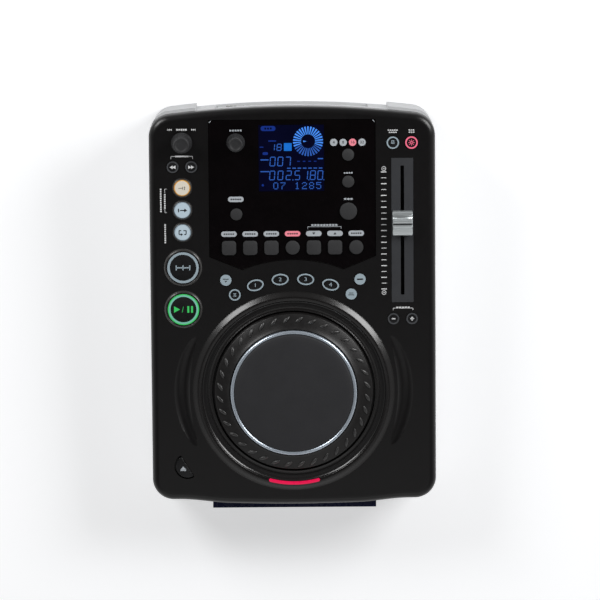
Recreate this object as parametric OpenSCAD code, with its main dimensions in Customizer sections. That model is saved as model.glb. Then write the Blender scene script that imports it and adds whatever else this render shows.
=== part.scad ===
// Tabletop disc player for a DJ: a sloping black deck over a pale grey base,
// with a slot for the disc in the front wall. Millimetres, +Z up. The origin is
// the bottom centre of the whole player. The front is at -Y. Deck places are
// given as u (right), v (towards the rear) and w (out of the deck).

/* [Deck] */
// Width of the top cover
deck_w = 220; // [212:1:250]
// Length of the top cover from its front bulge to its rear bow
deck_l = 311.6; // [307:0.1:340]
// Slope of the deck down towards the front, in degrees
deck_tilt = 5; // [2:0.5:7]
// Height of the middle of the deck above the table
deck_z = 80; // [78:1:100]
// Thickness of the cover's top
cover_t = 3.5; // [3:0.1:4.5]
// Depth of the cover's outer skirt
skirt_h = 10; // [9:0.5:12]
// Thickness of the cover's skirt
skirt_t = 3; // [2:0.1:4]
// Radius of the rolled edge round the cover
roll_r = 4; // [2:0.1:6]
// Radius of the rear corners in plan
rear_corner_r = 17.5; // [14:0.5:24]
// Radius of the front corners in plan
front_corner_r = 16.5; // [14:0.5:22]
// How far the rear edge bows out at the middle
rear_bow = 5.1; // [3:0.1:8]
// How far the front edge steps out between the corners
front_step = 2.4; // [1:0.1:5]
// How far the front edge bulges out beyond the step
front_bulge = 1.75; // [0.5:0.05:3]
// Distance of the front's step from the cover's sides
front_in = 21; // [19:1:30]

/* [Base] */
// How far the base stands in from the cover's edge
base_inset = 1.2; // [0.5:0.1:2]
// Wall thickness of the base
wall_t = 3; // [2:0.1:4]
// Thickness of the base's floor
floor_t = 2.5; // [2:0.1:4]
// How far the base's rear corner lobes stand out behind the cover
rear_out = 2.3; // [0:0.1:4]
// Width of the hollow in the rear wall between the corner lobes
rear_hollow_w = 142; // [130:1:150]
// Depth of the hollow in the rear wall
rear_hollow_d = 2.7; // [2:0.1:6]
// Height of the rubber feet
foot_h = 6; // [4:0.5:10]
// Radius of the rubber feet
foot_r = 10; // [7:0.5:13]
// Distance of the feet from the base's sides
foot_inset = 24; // [20:1:30]
// Width of a vent slot in the floor
vent_w = 3; // [2:0.1:3.6]
// Length of a vent slot in the floor
vent_l = 44; // [20:1:60]

/* [Disc slot and drive] */
// Width of the disc slot
slot_w = 122; // [121:0.5:125]
// Height of the disc slot
slot_h = 6; // [5.2:0.1:7]
// Height of the slot's middle above the table
slot_z = 34.5; // [34:0.5:36]
// Width of the trim round the slot
trim_w = 127; // [127:0.5:132]
// How far the trim stands out in front of the cover
trim_proud = 3.7; // [0.5:0.1:5]
// Height of the trim's lower edge above the table
trim_z = 22; // [16:0.5:26]
// Length of the disc drive from front to rear
drive_l = 138; // [136:0.5:142]
// Width of the disc drive
drive_w = 134; // [130:1:138]
// Sheet thickness of the disc drive
sheet_t = 1.2; // [1:0.1:2]
// Distance from the drive's front to the turntable's axis
spindle_in = 65.5; // [64:0.5:68]
// Radius of the turntable
turntable_r = 14.5; // [12:0.5:15]
// Radius of the spigot that the disc's hole sits on
spigot_r = 7.4; // [6:0.1:7.5]
// Radius of the guide rods
rod_r = 1.5; // [1.2:0.1:2]
// Distance of the guide rods from the middle
rod_x = 24; // [20:0.5:28]
// Radius of the feed screw
feed_r = 1.5; // [1.2:0.1:2]
// Distance of the feed screw from the middle
feed_x = 34; // [33:0.5:40]
// Radius of the loading roller
roller_r = 4; // [3:0.1:4.2]

/* [Jog wheel] */
// Distance of the jog axis from the front bulge
jog_in = 90; // [88:0.5:94]
// Radius of the jog wheel
jog_r = 61.8; // [58:0.1:62]
// Radius of the groove round the jog wheel
groove_r = 62.8; // [62.4:0.1:63.5]
// Outer radius of the raised lip round the groove
lip_r = 78; // [76.5:0.1:79]
// Height of the lip's crest above the deck
lip_h = 3; // [1.5:0.1:4]
// Height of the jog wheel's rim above the deck
jog_rim_h = 1; // [0.5:0.1:2]
// Height of the jog wheel's inner edge above the deck
jog_top_h = 7.5; // [5:0.1:9]
// Radius of the jog wheel's inner edge
jog_edge_r = 51; // [50:0.1:52]
// Outer radius of the silver ring
ring_r = 48.6; // [48:0.1:49]
// Radius of the touch pad
pad_r = 46.5; // [44:0.1:47.5]
// Height of the touch pad's middle above the deck
pad_h = 11.5; // [10.5:0.1:14]
// Radius of the jog shaft
shaft_r = 4; // [3:0.1:5]
// Number of grip studs round the jog wheel
stud_count = 36; // [24:1:40]
// Length of a grip stud
stud_l = 6.4; // [4:0.1:7]
// Width of a grip stud
stud_w = 2; // [1.2:0.1:2.6]
// Lean of the grip studs to the wheel's rim, in degrees
stud_lean = 40; // [20:1:70]
// Depth of the crescent scoops beside the jog wheel
scoop_d = 1.8; // [0.8:0.1:2]

/* [Panel and display] */
// Width of the glossy panel
panel_w = 128.2; // [126:0.1:134]
// Gap from the rear edge of the cover to the panel
panel_gap = 12.3; // [11:0.1:15]
// Radius about the jog axis of the panel's lower edge
panel_arc_r = 102.8; // [102:0.1:106]
// Half width of the panel's lower arc
panel_arc_half = 39; // [30:0.5:50]
// Height of the panel's lower corners above its lowest points
panel_rise = 10.4; // [5:0.1:14]
// Thickness of the panel
panel_t = 1.5; // [1:0.1:1.6]
// Depth of the panel's recess
panel_d = 2; // [1.7:0.1:2.2]
// Width of the display
lcd_w = 50; // [46:0.5:52]
// Length of the display
lcd_l = 51.2; // [46:0.1:52]
// Distance of the display's middle from the rear edge
lcd_in = 39.65; // [39.45:0.05:42]
// How far the display stands to the left of the middle
lcd_left = 0.5; // [0:0.1:1]
// Depth of the display module
lcd_d = 6; // [4:0.1:7]

/* [Rows] */
// Distance from the rear edge to the row of the knobs
knob_row = 27.2; // [26:0.1:29]
// Distance from the rear edge to the search keys
search_row = 45.8; // [45:0.1:47]
// Distance from the rear edge to the first loop key
loop_row = 62.1; // [61.4:0.1:63]
// Distance from the rear edge to the cue key
cue_row = 124.2; // [122:0.1:126]
// Distance from the rear edge to the tempo lock and pitch keys
tempo_row = 28.1; // [25:0.1:29]
// Height of the effect keys' row above the middle of the panel's lower arc
effect_rise = 9.6; // [8:0.1:11]
// Distance of the folder and scratch column from the middle
folder_out = 43.1; // [41:0.1:45]
// Distance of the range, time and tap column from the middle
side_out = 43.1; // [41:0.1:45]
// Distance of the eject key's straight edge from the cover's left side
eject_side = 27.1; // [26:0.1:30]
// Distance of the eject key from the front bulge
eject_in = 31.1; // [28:0.1:33]

/* [Keys] */
// How far the side columns stand inside the middle of the strips beside the panel
column_off = 2.45; // [1:0.05:3]
// How far a key goes down
key_travel = 0.8; // [0.5:0.1:1]
// Gap round a moving key
key_gap = 0.3; // [0.25:0.05:0.45]
// How far a key's flange reaches out under the cover
flange_out = 1.2; // [0.8:0.1:1.3]
// Thickness of a key's flange
flange_t = 1.2; // [0.8:0.1:1.6]
// Radius of a key's stem
stem_r = 2; // [1.5:0.1:2.4]
// Height of the low round keys above the deck
low_key_h = 1; // [0.5:0.1:2]
// Height of the effect keys above the deck
effect_key_h = 1.6; // [0.8:0.1:2.4]
// Side of a square effect key
square_key = 11; // [9:0.1:11.4]
// Corner radius of a square effect key
square_key_r = 2.7; // [1:0.1:4]
// Distance between the effect keys
effect_pitch = 16.33; // [16:0.01:17]
// Radius of the round effect keys
round_effect_r = 5.4; // [4.5:0.1:5.8]
// Radius of the cue and play keys
main_key_r = 12.6; // [11:0.1:12.8]
// Outer radius of the cue and play bezels
main_bezel_r = 14.85; // [14.2:0.05:15.4]
// Distance between the cue and play keys
main_pitch = 32.7; // [32:0.1:34]
// Radius of the loop keys
loop_key_r = 6.2; // [5:0.1:6.4]
// Outer radius of the loop bezels
loop_bezel_r = 7.85; // [7.5:0.05:8.3]
// Distance between the loop keys
loop_pitch = 17.3; // [17:0.1:18]
// Height of the key bezels above the deck
bezel_h = 1.4; // [0.8:0.1:2.5]
// Radius of the search keys
search_r = 4.5; // [3.5:0.1:4.8]
// Radius of the bend keys
bend_r = 4.3; // [3.5:0.1:4.8]
// Half the distance between the keys of a pair
pair_half = 7.15; // [6.9:0.05:7.5]
// Length of a bank key
bank_l = 13.6; // [10:0.1:14]
// Width of a bank key
bank_w = 9.4; // [7:0.1:10]
// Radius about the jog axis of the bank keys
bank_arc_r = 88.2; // [87:0.1:90]
// Half the angle between the bank keys, in degrees
bank_step = 6.4; // [6.3:0.1:6.8]
// Radius of the small keys beside the bank keys
small_key_r = 4.5; // [3.5:0.1:4.8]
// Radius about the jog axis of the outer small keys
small_arc_r = 101.6; // [101:0.1:104]
// Angle of the small keys from the middle, in degrees
small_angle = 30.6; // [30.2:0.1:32]
// Radius of the range and time keys
side_key_r = 4.6; // [3.5:0.1:5]
// Radius of the tap key
tap_key_r = 6.6; // [5:0.1:7]
// Radius of the tempo lock and pitch keys
tempo_key_r = 4.95; // [4:0.1:5.2]
// Radius of the eject key
eject_r = 8.9; // [7:0.1:10]
// Turn of the eject key's straight edge, in degrees
eject_turn = 212; // [180:1:240]

/* [Knobs] */
// Radius of the track knob's foot
track_r = 8.1; // [7:0.1:9]
// Radius of the track knob's top
track_top_r = 6; // [5:0.1:6.5]
// Height of the track knob
track_h = 15; // [10:0.5:18]
// Radius of the folder knob's foot
folder_r = 7.1; // [6:0.1:8]
// Radius of the folder knob's top
folder_top_r = 5.4; // [4.5:0.1:5.8]
// Height of the folder knob
folder_h = 14; // [10:0.5:18]
// Number of flutes round a knob
flute_count = 18; // [12:1:24]
// Radius of a knob's shaft
knob_shaft_r = 3; // [2.5:0.1:3.2]

/* [Fader] */
// Width of the fader plate
fader_w = 17.2; // [16:0.1:18]
// Length of the fader plate
fader_l = 112.8; // [110:0.1:114]
// Distance from the rear edge to the middle of the fader
fader_in = 96.35; // [95.9:0.05:98]
// Width of the fader slot
fader_slot_w = 2.75; // [2.2:0.05:4]
// Length of the fader slot
fader_slot_l = 100.7; // [98:0.1:102]
// Length of the fader cap along the slot
cap_l = 18.9; // [14:0.1:20]
// Width of the fader cap
cap_w = 15.4; // [12:0.1:17]
// Height of the fader cap's top
cap_h = 11; // [7:0.1:13]
// How far the cap rests above the slot's middle
cap_rest = 6.2; // [0:0.1:12]
// Thickness of the fader's lever
lever_t = 1.2; // [1:0.1:1.6]
// Depth of the fader body under the cover
fader_body_d = 8.5; // [6:0.1:9]

/* [Rear connections] */
// Width of the bay in the rear wall
bay_w = 118; // [116:1:124]
// Height of the bay
bay_h = 44; // [42:1:46]
// Depth of the bay
bay_d = 12; // [11:0.5:14]
// Height of the connections above the table
jack_z = 31; // [30:0.5:34]
// Outer radius of a phono socket
phono_r = 4.15; // [4:0.05:4.2]
// Length of a phono socket
phono_l = 8.5; // [8:0.1:9]
// Distance between the phono sockets
phono_pitch = 13; // [12.4:0.1:13.2]
// Inner radius of the remote start socket
remote_r = 1.8; // [1.7:0.05:2]
// Width of the power inlet's mouth
inlet_w = 24.4; // [24:0.1:26]
// Height of the power inlet's mouth
inlet_h = 16.4; // [16:0.1:18]
// Width of the power switch's rocker
rocker_w = 14; // [12:0.5:16]
// Height of the power switch's rocker
rocker_h = 18; // [16:0.5:20]

/* [Boards] */
// Thickness of the circuit boards
board_t = 1.6; // [1.2:0.1:2]
// Depth of the control board's top below the deck
control_depth = 16; // [15.5:0.1:17]
// Height of the lower boards above the floor
standoff_h = 5.5; // [4:0.5:8]
// Length of the deck that neither the drive nor the lower boards take up
board_ends = 47.6; // [44:0.1:60]
// Gap between the drive and the lower boards
board_front_gap = 8; // [4:0.5:12]
// Gap between the two lower boards
board_gap = 6; // [3:0.5:12]
// Distance of the lower boards from the cover's sides
board_in = 16; // [12:0.5:24]
// Width of the power supply's board
supply_w = 58; // [50:1:66]

/* [Hidden] */
$fn = 48;

// Small clearances shared by all pieces, and the laps of solids that join
static_gap = 0.15;
run_gap = 0.06;
eps = 0.01;
rim_lap = 1;
big = 400;

// The deck's own frame and the cover's outline
half_w = deck_w / 2;
half_l = deck_l / 2;
front_half = half_w - front_in;
tilt_s = sin(deck_tilt);
tilt_c = cos(deck_tilt);
deck_y = (trim_proud - (skirt_h + roll_r) * tilt_s - max(0, rear_out - rear_hollow_d)) / 2;
bow_half = half_w - 22;
bow_r = (pow(bow_half, 2) + pow(rear_bow, 2)) / (2 * rear_bow);
bow_v = half_l - bow_r;
rear_corner_u = half_w - rear_corner_r;
rear_corner_v = bow_v + sqrt(pow(bow_r - rear_corner_r, 2) - pow(rear_corner_u, 2));
rear_corner_end = atan2(rear_corner_v - bow_v, rear_corner_u);
front_flat_v = -half_l + front_step + front_bulge;
front_corner_u = half_w - front_corner_r;

function smooth(t) = let (x = min(1, max(0, t))) x * x * (3 - 2 * x);
function front_edge(u) = front_flat_v
    - front_step * smooth((front_half - abs(u)) / (front_half * 0.44))
    - front_bulge * pow(1 - pow(u / front_half, 2), 2);
function arc(c, r, a0, a1, n) =
    [for (i = [0 : n]) let (a = a0 + (a1 - a0) * i / n) c + r * [cos(a), sin(a)]];
outline = concat(
    arc([front_corner_u, front_flat_v + front_corner_r], front_corner_r, -90, 0, 8),
    arc([rear_corner_u, rear_corner_v], rear_corner_r, 0, rear_corner_end, 8),
    [for (p = arc([0, bow_v], bow_r, rear_corner_end, 180 - rear_corner_end, 18))
        if (abs(p.x) < bow_half) p],
    arc([-rear_corner_u, rear_corner_v], rear_corner_r, 180 - rear_corner_end, 180, 8),
    arc([-front_corner_u, front_flat_v + front_corner_r], front_corner_r, 180, 270, 8),
    [for (i = [0 : 24]) let (u = front_half * (i / 12 - 1)) [u, front_edge(u)]]);
function inward(i) = let (n = len(outline),
    d = outline[(i + 1) % n] - outline[(i + n - 1) % n]) [-d.y, d.x] / norm(d);
// The cover's outline drawn in by a distance
function ring(inset) = [for (i = [0 : len(outline) - 1]) outline[i] + inset * inward(i)];
// The same in plan on the table, where the base meets the cover's skirt
base_y = deck_y + skirt_h * tilt_s;
function base_ring(inset, back) = [for (p = ring(inset))
    [p.x, base_y + p.y * tilt_c + (p.y > 0 ? base_inset + back : 0)]];

// Places on the deck
right_u = (half_w + panel_w / 2) / 2 - column_off;
left_u = -right_u;
jog_v = -half_l + jog_in;
knob_v = half_l - knob_row;
search_v = half_l - search_row;
loop_v = half_l - loop_row;
cue_v = half_l - cue_row;
play_v = cue_v - main_pitch;
tempo_v = half_l - tempo_row;
folder_u = -folder_out;
effect_v = jog_v + panel_arc_r + effect_rise;
// Rows between the effect keys, at share 0, and the panel's rear edge, at 1
function panel_row(share) = effect_v + share * (half_l - panel_gap - effect_v);
scratch_v = panel_row(0.27);
tap_v = panel_row(0.29);
time_v = panel_row(0.527);
range_v = panel_row(0.742);
fader_v = half_l - fader_in;
fader_u = right_u;
bend_v = fader_v - fader_l / 2 - 12.5;
eject_u = -half_w + eject_side;
eject_v = -half_l + eject_in;
lcd_v = half_l - lcd_in;
cap_v = fader_v + cap_rest;

// Heights in the deck's frame
panel_top = panel_t - panel_d;
flange_top = -cover_t - key_gap;
plunger_top = -control_depth + 4.7;
stem_end = plunger_top + key_travel + 0.1;
pan_floor = -cover_t - 2.5;
pan_t = 3;
pan_r = lip_r - 8;
well_r = groove_r + 3.7;
boss_r = shaft_r + 5;
boss_end = -control_depth - board_t - 2.4;
bearing_gap = 0.3;

// Keys as [u, v, shape, size, turn], where the shape is 0 round, 1 square,
// 2 oval and 3 half round
function polar(r, a) = [r * sin(a), jog_v + r * cos(a)];
function round_key(p, r) = [p.x, p.y, 0, r, 0];
function square_effect(i) = [i * effect_pitch, effect_v, 1, square_key, 0];
function bank_key(a) = let (p = polar(bank_arc_r, a)) [p.x, p.y, 2, bank_l, -0.7 * a];
k_search_back = round_key([left_u - pair_half, search_v], search_r);
k_search_forward = round_key([left_u + pair_half, search_v], search_r);
k_loop_in = round_key([left_u, loop_v], loop_key_r);
k_loop_out = round_key([left_u, loop_v - loop_pitch], loop_key_r);
k_reloop = round_key([left_u, loop_v - 2 * loop_pitch], loop_key_r);
k_cue = round_key([left_u, cue_v], main_key_r);
k_play = round_key([left_u, play_v], main_key_r);
k_eject = [eject_u, eject_v, 3, eject_r, eject_turn];
k_scratch = round_key([folder_u, scratch_v], side_key_r);
k_effect_1 = square_effect(-3);
k_effect_2 = square_effect(-2);
k_effect_3 = square_effect(-1);
k_effect_4 = round_key([0, effect_v], round_effect_r);
k_param_down = square_effect(1);
k_param_up = square_effect(2);
k_hold = round_key([3 * effect_pitch, effect_v], round_effect_r);
k_range = round_key([side_out, range_v], side_key_r);
k_time = round_key([side_out, time_v], side_key_r);
k_tap = round_key([side_out, tap_v], tap_key_r);
k_tempo_lock = round_key([right_u - pair_half, tempo_v], tempo_key_r);
k_pitch_on = round_key([right_u + pair_half, tempo_v], tempo_key_r);
k_bend_minus = round_key([right_u - pair_half, bend_v], bend_r);
k_bend_plus = round_key([right_u + pair_half, bend_v], bend_r);
k_bank_1 = bank_key(-3 * bank_step);
k_bank_2 = bank_key(-bank_step);
k_bank_3 = bank_key(bank_step);
k_bank_4 = bank_key(3 * bank_step);
k_bank_select = round_key(polar(small_arc_r, -small_angle), small_key_r);
k_memory = round_key(polar(bank_arc_r, -small_angle), small_key_r);
k_time_mode = round_key(polar(small_arc_r, small_angle), small_key_r);
k_play_mode = round_key(polar(bank_arc_r, small_angle), small_key_r);
deck_keys = [k_search_back, k_search_forward, k_loop_in, k_loop_out, k_reloop,
    k_cue, k_play, k_eject, k_tempo_lock, k_pitch_on, k_bend_minus, k_bend_plus,
    k_bank_1, k_bank_2, k_bank_3, k_bank_4, k_bank_select, k_memory, k_time_mode,
    k_play_mode];
panel_keys = [k_scratch, k_effect_1, k_effect_2, k_effect_3, k_effect_4,
    k_param_down, k_param_up, k_hold, k_range, k_time, k_tap];
all_keys = concat(deck_keys, panel_keys);
knobs = [[left_u, knob_v], [folder_u, knob_v]];

// The half-round key's stem stands under the middle of its area
half_round_mid = 0.42;
function key_mid(k) = k[2] == 3
    ? [k.x, k.y] + half_round_mid * k[3] * [cos(k[4]), sin(k[4])] : [k.x, k.y];

// Places on the base, in plan on the table
trim_front = deck_y - half_l * tilt_c + roll_r * tilt_s - trim_proud;
drive_y = base_y + front_edge(drive_w / 2) * tilt_c + base_inset + wall_t + 0.4;
drive_z = foot_h + floor_t + 4;
drive_top = slot_z + 5.5;
spindle_y = drive_y + spindle_in;
hollow_y = base_y + half_l * tilt_c + rear_out - rear_hollow_d;
bay_y = hollow_y - bay_d;
bay_z = foot_h + floor_t + 7;
board_z = foot_h + floor_t + standoff_h;
floor_z = foot_h + floor_t;
rod_z = drive_z + 9.5;

// Posts under the cover that carry the control board
posts = [for (s = [-1, 1], p = [[panel_w / 2 - 1, half_l - 50], [half_w - 46, -2.5],
    [half_w - 13, -94.5], [55, -half_l + 14.5]]) [s * p.x, p.y]];
post_r = 3.5;
pilot_r = 1.3;
// Side tabs that screw the cover to the base
tab_v = [-80, 80];
tab_t = 4;
tab_wide = 14;
tab_depth = skirt_h + 10;
tab_screw_w = -skirt_h - 5;
tab_u = half_w - base_inset - wall_t - 0.3;
// Lower boards as [left, front, width, length] in plan
board_y = drive_y + drive_l + board_front_gap;
board_l = deck_l - drive_l - board_ends;
board_side = half_w - board_in;
main_w = 2 * board_side - supply_w - board_gap;
main_rect = [board_side - main_w, board_y, main_w, board_l];
supply_rect = [-board_side, board_y, supply_w, board_l];
// Plans, as [width, length], for which the places of the boards' parts are given
main_plan = [124, 126];
supply_plan = [58, 126];
board_edge = 6;
function corners(r) = [for (x = [board_edge, r[2] - board_edge],
    y = [board_edge, r[3] - board_edge]) [r[0] + x, r[1] + y]];
board_posts = concat(corners(main_rect), corners(supply_rect));
drive_feet = [for (x = [-1, 1], y = [14, drive_l - 14])
    [x * (drive_w / 2 - 8), drive_y + y]];
foot_places = [for (x = [-1, 1], y = [-1, 1])
    [x * (half_w - foot_inset), y * (half_l - foot_inset - 8)]];
panel_screws = [for (x = [-1, 1], z = [3, bay_h - 3]) [x * (bay_w / 2 - 3), bay_z + z]];
jack_x = -bay_w / 2 + 12;
remote_x = jack_x + 2 * phono_pitch + 11.5;
inlet_x = bay_w / 2 - inlet_w / 2 - 11.8;
rocker_x = inlet_x - (inlet_w + rocker_w) / 2 - 9.3;
socket_half = max(inlet_h, rocker_h) / 2 + 2.5;

module deck() {
    translate([0, deck_y, deck_z]) rotate([deck_tilt, 0, 0]) children();
}

// A prism between two heights of the deck's frame
module slab(w0, w1) {
    translate([0, 0, w0]) linear_extrude(w1 - w0) children();
}

module disc(p, r, w0, w1) {
    translate([p.x, p.y, w0]) cylinder(r = r, h = w1 - w0);
}

module rounded(w, l, r) {
    polygon([for (q = [[1, 1, 0], [-1, 1, 90], [-1, -1, 180], [1, -1, 270]],
        p = arc([q.x * (w / 2 - r), q.y * (l / 2 - r)], r, q.z, q.z + 90, 6)) p]);
}

// A key's outline, grown by a clearance or a flange
module key_outline(k, grow) {
    translate([k.x, k.y]) rotate(k[4]) {
        if (k[2] == 0) circle(r = k[3] + grow);
        if (k[2] == 1) rounded(k[3] + 2 * grow, k[3] + 2 * grow, square_key_r + grow);
        if (k[2] == 2) polygon([for (i = [0 : 35]) [(bank_l / 2 + grow) * cos(i * 10),
            (bank_w / 2 + grow) * sin(i * 10)]]);
        if (k[2] == 3) polygon(concat([[-grow, -k[3] - grow]],
            arc([0, 0], k[3] + grow, -90, 90, 20), [[-grow, k[3] + grow]]));
    }
}

// A key: its cap, a flange that holds it under the cover, and a stem
module key(k, top, shade) {
    mid = key_mid(k);
    color(shade) deck() {
        slab(flange_top - flange_t, top) key_outline(k, 0);
        slab(flange_top - flange_t, flange_top) key_outline(k, flange_out);
        disc(mid, stem_r, stem_end, flange_top - flange_t + eps);
    }
}

module panel_outline(grow) {
    r = panel_arc_r - grow;
    half = asin(panel_arc_half / r);
    low = jog_v + r * cos(half);
    side = panel_w / 2 + grow;
    rear = half_l - panel_gap + grow;
    polygon(concat([[side, low + panel_rise], [side, rear], [-side, rear],
        [-side, low + panel_rise]], arc([0, jog_v], r, 90 + half, 90 - half, 20)));
}

// ---- The case ----

module base_plan(g) {
    back = g > 0 ? rear_out / 2 : rear_out;
    polygon(base_ring(base_inset + rear_hollow_d + g, back));
    difference() {
        polygon(base_ring(base_inset + g, back));
        polygon([[-rear_hollow_w / 2 - g, half_l / 2], [rear_hollow_w / 2 + g, half_l / 2],
            [rear_hollow_w / 2 + g + 4, half_l + 20], [-rear_hollow_w / 2 - g - 4, half_l + 20]]);
    }
}

module base_housing() {
    color("#d3d5d9") difference() {
        union() {
            difference() {
                translate([0, 0, foot_h]) linear_extrude(deck_z + 30) base_plan(0);
                translate([0, 0, floor_z]) linear_extrude(deck_z + 30) base_plan(wall_t);
                deck() translate([-big / 2, -big / 2, -skirt_h]) cube([big, big, deck_z]);
            }
            translate([-bay_w / 2 - wall_t, bay_y - wall_t, floor_z - eps])
                cube([bay_w + 2 * wall_t, bay_d + wall_t - rear_bow / 2,
                    bay_z + bay_h + wall_t - floor_z]);
            for (p = concat(board_posts, drive_feet))
                disc(p, post_r, floor_z - eps,
                    len([for (q = board_posts) if (q == p) q]) > 0 ? board_z : drive_z);
        }
        translate([-bay_w / 2, bay_y, bay_z]) cube([bay_w, bay_d + 20, bay_h]);
        translate([-bay_w / 2 + 5.5, bay_y - wall_t - 1, jack_z - socket_half])
            cube([bay_w - 11, wall_t + 2, 2 * socket_half]);
        translate([-trim_w / 2 - static_gap, trim_front - 10, trim_z])
            cube([trim_w + 2 * static_gap, drive_y - trim_front + 10, deck_z]);
        for (p = concat(board_posts, drive_feet)) disc(p, pilot_r, floor_z, board_z + 10);
        for (p = foot_places) disc(p, pilot_r, foot_h - 1, floor_z + 1);
        for (x = [-4.5 : 1 : 4.5], y = [-1, 1])
            translate([x * 3 * vent_w - vent_w / 2, y * half_l / 4 - vent_l / 2, foot_h - 1])
                cube([vent_w, vent_l, floor_t + 2]);
        for (p = panel_screws) translate([p.x, bay_y + 1, p.y])
            rotate([90, 0, 0]) cylinder(r = pilot_r, h = wall_t + 2);
        deck() for (v = tab_v, s = [-1, 1]) side_screw_space(s, v);
    }
}

// The countersunk way of a side screw through the base's wall
module side_screw_space(s, v) {
    translate([s * (half_w - base_inset), v, tab_screw_w]) rotate([0, -s * 90, 0]) {
        translate([0, 0, -1]) cylinder(r = 1.7, h = wall_t + 4);
        translate([0, 0, -eps]) cylinder(r1 = 3.1, r2 = 1.6, h = 1.5);
    }
}

module feet() {
    color("#161616") for (p = foot_places) translate([p.x, p.y, 0])
        rotate_extrude() polygon([[1.8, 2.5], [3.6, 2.5], [3.6, 0], [foot_r - 1.5, 0],
            [foot_r - 0.6, 0.5], [foot_r, foot_h], [1.8, foot_h]]);
}

// The skirt with its rolled edge: one cross-section carried round the outline
module rolled_rim() {
    section = concat([[0, -skirt_h]],
        [for (a = [0 : 18 : 90]) [roll_r * (1 - cos(a)), -roll_r * (1 - sin(a))]],
        [[roll_r, -cover_t], [skirt_t, -cover_t], [skirt_t, -skirt_h]]);
    n = len(outline);
    m = len(section);
    polyhedron([for (q = section, p = ring(q[0])) [p.x, p.y, q[1]]],
        [for (k = [0 : m - 1], i = [0 : n - 1])
            [k * n + i, (k + 1) % m * n + i, (k + 1) % m * n + (i + 1) % n, k * n + (i + 1) % n]]);
}

// A tilted ring that dips into the deck beside the jog wheel, so that it cuts
// a crescent
module scoop_cutter(side) {
    tube = 9.3;
    reach = 86.5;
    lean = 11;
    translate([0, jog_v, reach * sin(lean) + tube - scoop_d])
        rotate([0, side * lean, 0]) rotate_extrude($fn = 96)
            translate([reach / cos(lean), 0]) circle(r = tube);
}

module top_cover() {
    color("#1a1a1c") deck() difference() {
        union() {
            rolled_rim();
            slab(-cover_t, 0) polygon(ring(roll_r));
            slab(-cover_t + rim_lap, -rim_lap) polygon(ring(roll_r - rim_lap));
            disc([0, jog_v], pan_r, pan_floor - pan_t, -cover_t + eps);
            disc([0, jog_v], boss_r, boss_end, pan_floor - pan_t + eps);
            for (p = posts) disc(p, post_r, -control_depth, -cover_t + eps);
            for (v = tab_v, s = [-1, 1])
                translate([s * (tab_u - tab_t / 2) - tab_t / 2, v - tab_wide / 2, -tab_depth])
                    cube([tab_t, tab_wide, tab_depth - cover_t + eps]);
        }
        disc([0, jog_v], well_r, pan_floor, 1);
        disc([0, jog_v], shaft_r + run_gap, boss_end - 1, 1);
        slab(-panel_d, 1) panel_outline(static_gap);
        for (k = all_keys) slab(-cover_t - 1, 1) key_outline(k, key_gap);
        for (p = knobs) disc(p, knob_shaft_r + 0.5, -cover_t - 1, 1);
        slab(-cover_t - 1, 1) translate([-lcd_left, lcd_v])
            square([lcd_w + 2 * static_gap, lcd_l + 2 * static_gap], center = true);
        slab(-1.4, 1) translate([fader_u, fader_v])
            square([fader_w + 2 * static_gap, fader_l + 2 * static_gap], center = true);
        slab(-cover_t - 1, 1) translate([fader_u, fader_v])
            square([fader_slot_w + 1.6, fader_slot_l + 1.6], center = true);
        scoop_cutter(1);
        scoop_cutter(-1);
        for (p = posts) disc(p, pilot_r, -control_depth - 1, -cover_t - 1);
        for (v = tab_v, s = [-1, 1])
            translate([s * (half_w - base_inset - wall_t), v, tab_screw_w])
                rotate([0, -s * 90, 0]) cylinder(r = pilot_r, h = tab_t + 2);
    }
}

module fascia_panel() {
    color("#0c0a0d") deck() difference() {
        slab(-panel_d, panel_top) panel_outline(0);
        for (k = panel_keys) slab(-panel_d - 1, 1) key_outline(k, key_gap);
        disc([folder_u, knob_v], knob_shaft_r + 0.5, -panel_d - 1, 1);
        slab(-panel_d - 1, 1) translate([-lcd_left, lcd_v])
            square([lcd_w + 2 * static_gap, lcd_l + 2 * static_gap], center = true);
    }
}

module display_module() {
    color("#04081a") deck() translate([-lcd_left, lcd_v]) {
        slab(-cover_t - eps, panel_top - 0.2) square([lcd_w, lcd_l], center = true);
        slab(-cover_t - lcd_d, -cover_t) square([lcd_w + 7, lcd_l + 7], center = true);
    }
}

module button_bezels() {
    color("#2b2a2a") deck() {
        for (k = [k_cue, k_play]) bezel(k, main_bezel_r);
        for (k = [k_loop_in, k_loop_out, k_reloop]) bezel(k, loop_bezel_r);
    }
}

module bezel(k, r) {
    inner = k[3] + key_gap;
    lip = r - inner;
    translate([k.x, k.y, 0]) rotate_extrude() polygon([[inner, 0], [inner, bezel_h * 0.7],
        [inner + lip * 0.25, bezel_h], [inner + lip * 0.55, bezel_h], [r, bezel_h * 0.25], [r, 0]]);
}

module slot_trim() {
    depth = drive_y - static_gap - trim_front;
    skirt_low = deck_z - half_l * tilt_s - skirt_h * tilt_c;
    color("#141a3a") difference() {
        translate([-trim_w / 2, trim_front, trim_z]) cube([trim_w, depth, skirt_low - 0.4 - trim_z]);
        translate([-slot_w / 2, trim_front - 1, slot_z - slot_h / 2]) cube([slot_w, depth + 2, slot_h]);
        translate([-slot_w / 2 - 1, trim_front - 1, slot_z - slot_h / 2 - 1])
            cube([slot_w + 2, 2.2, slot_h + 2]);
    }
}

// ---- The jog wheel and its dish ----

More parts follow.
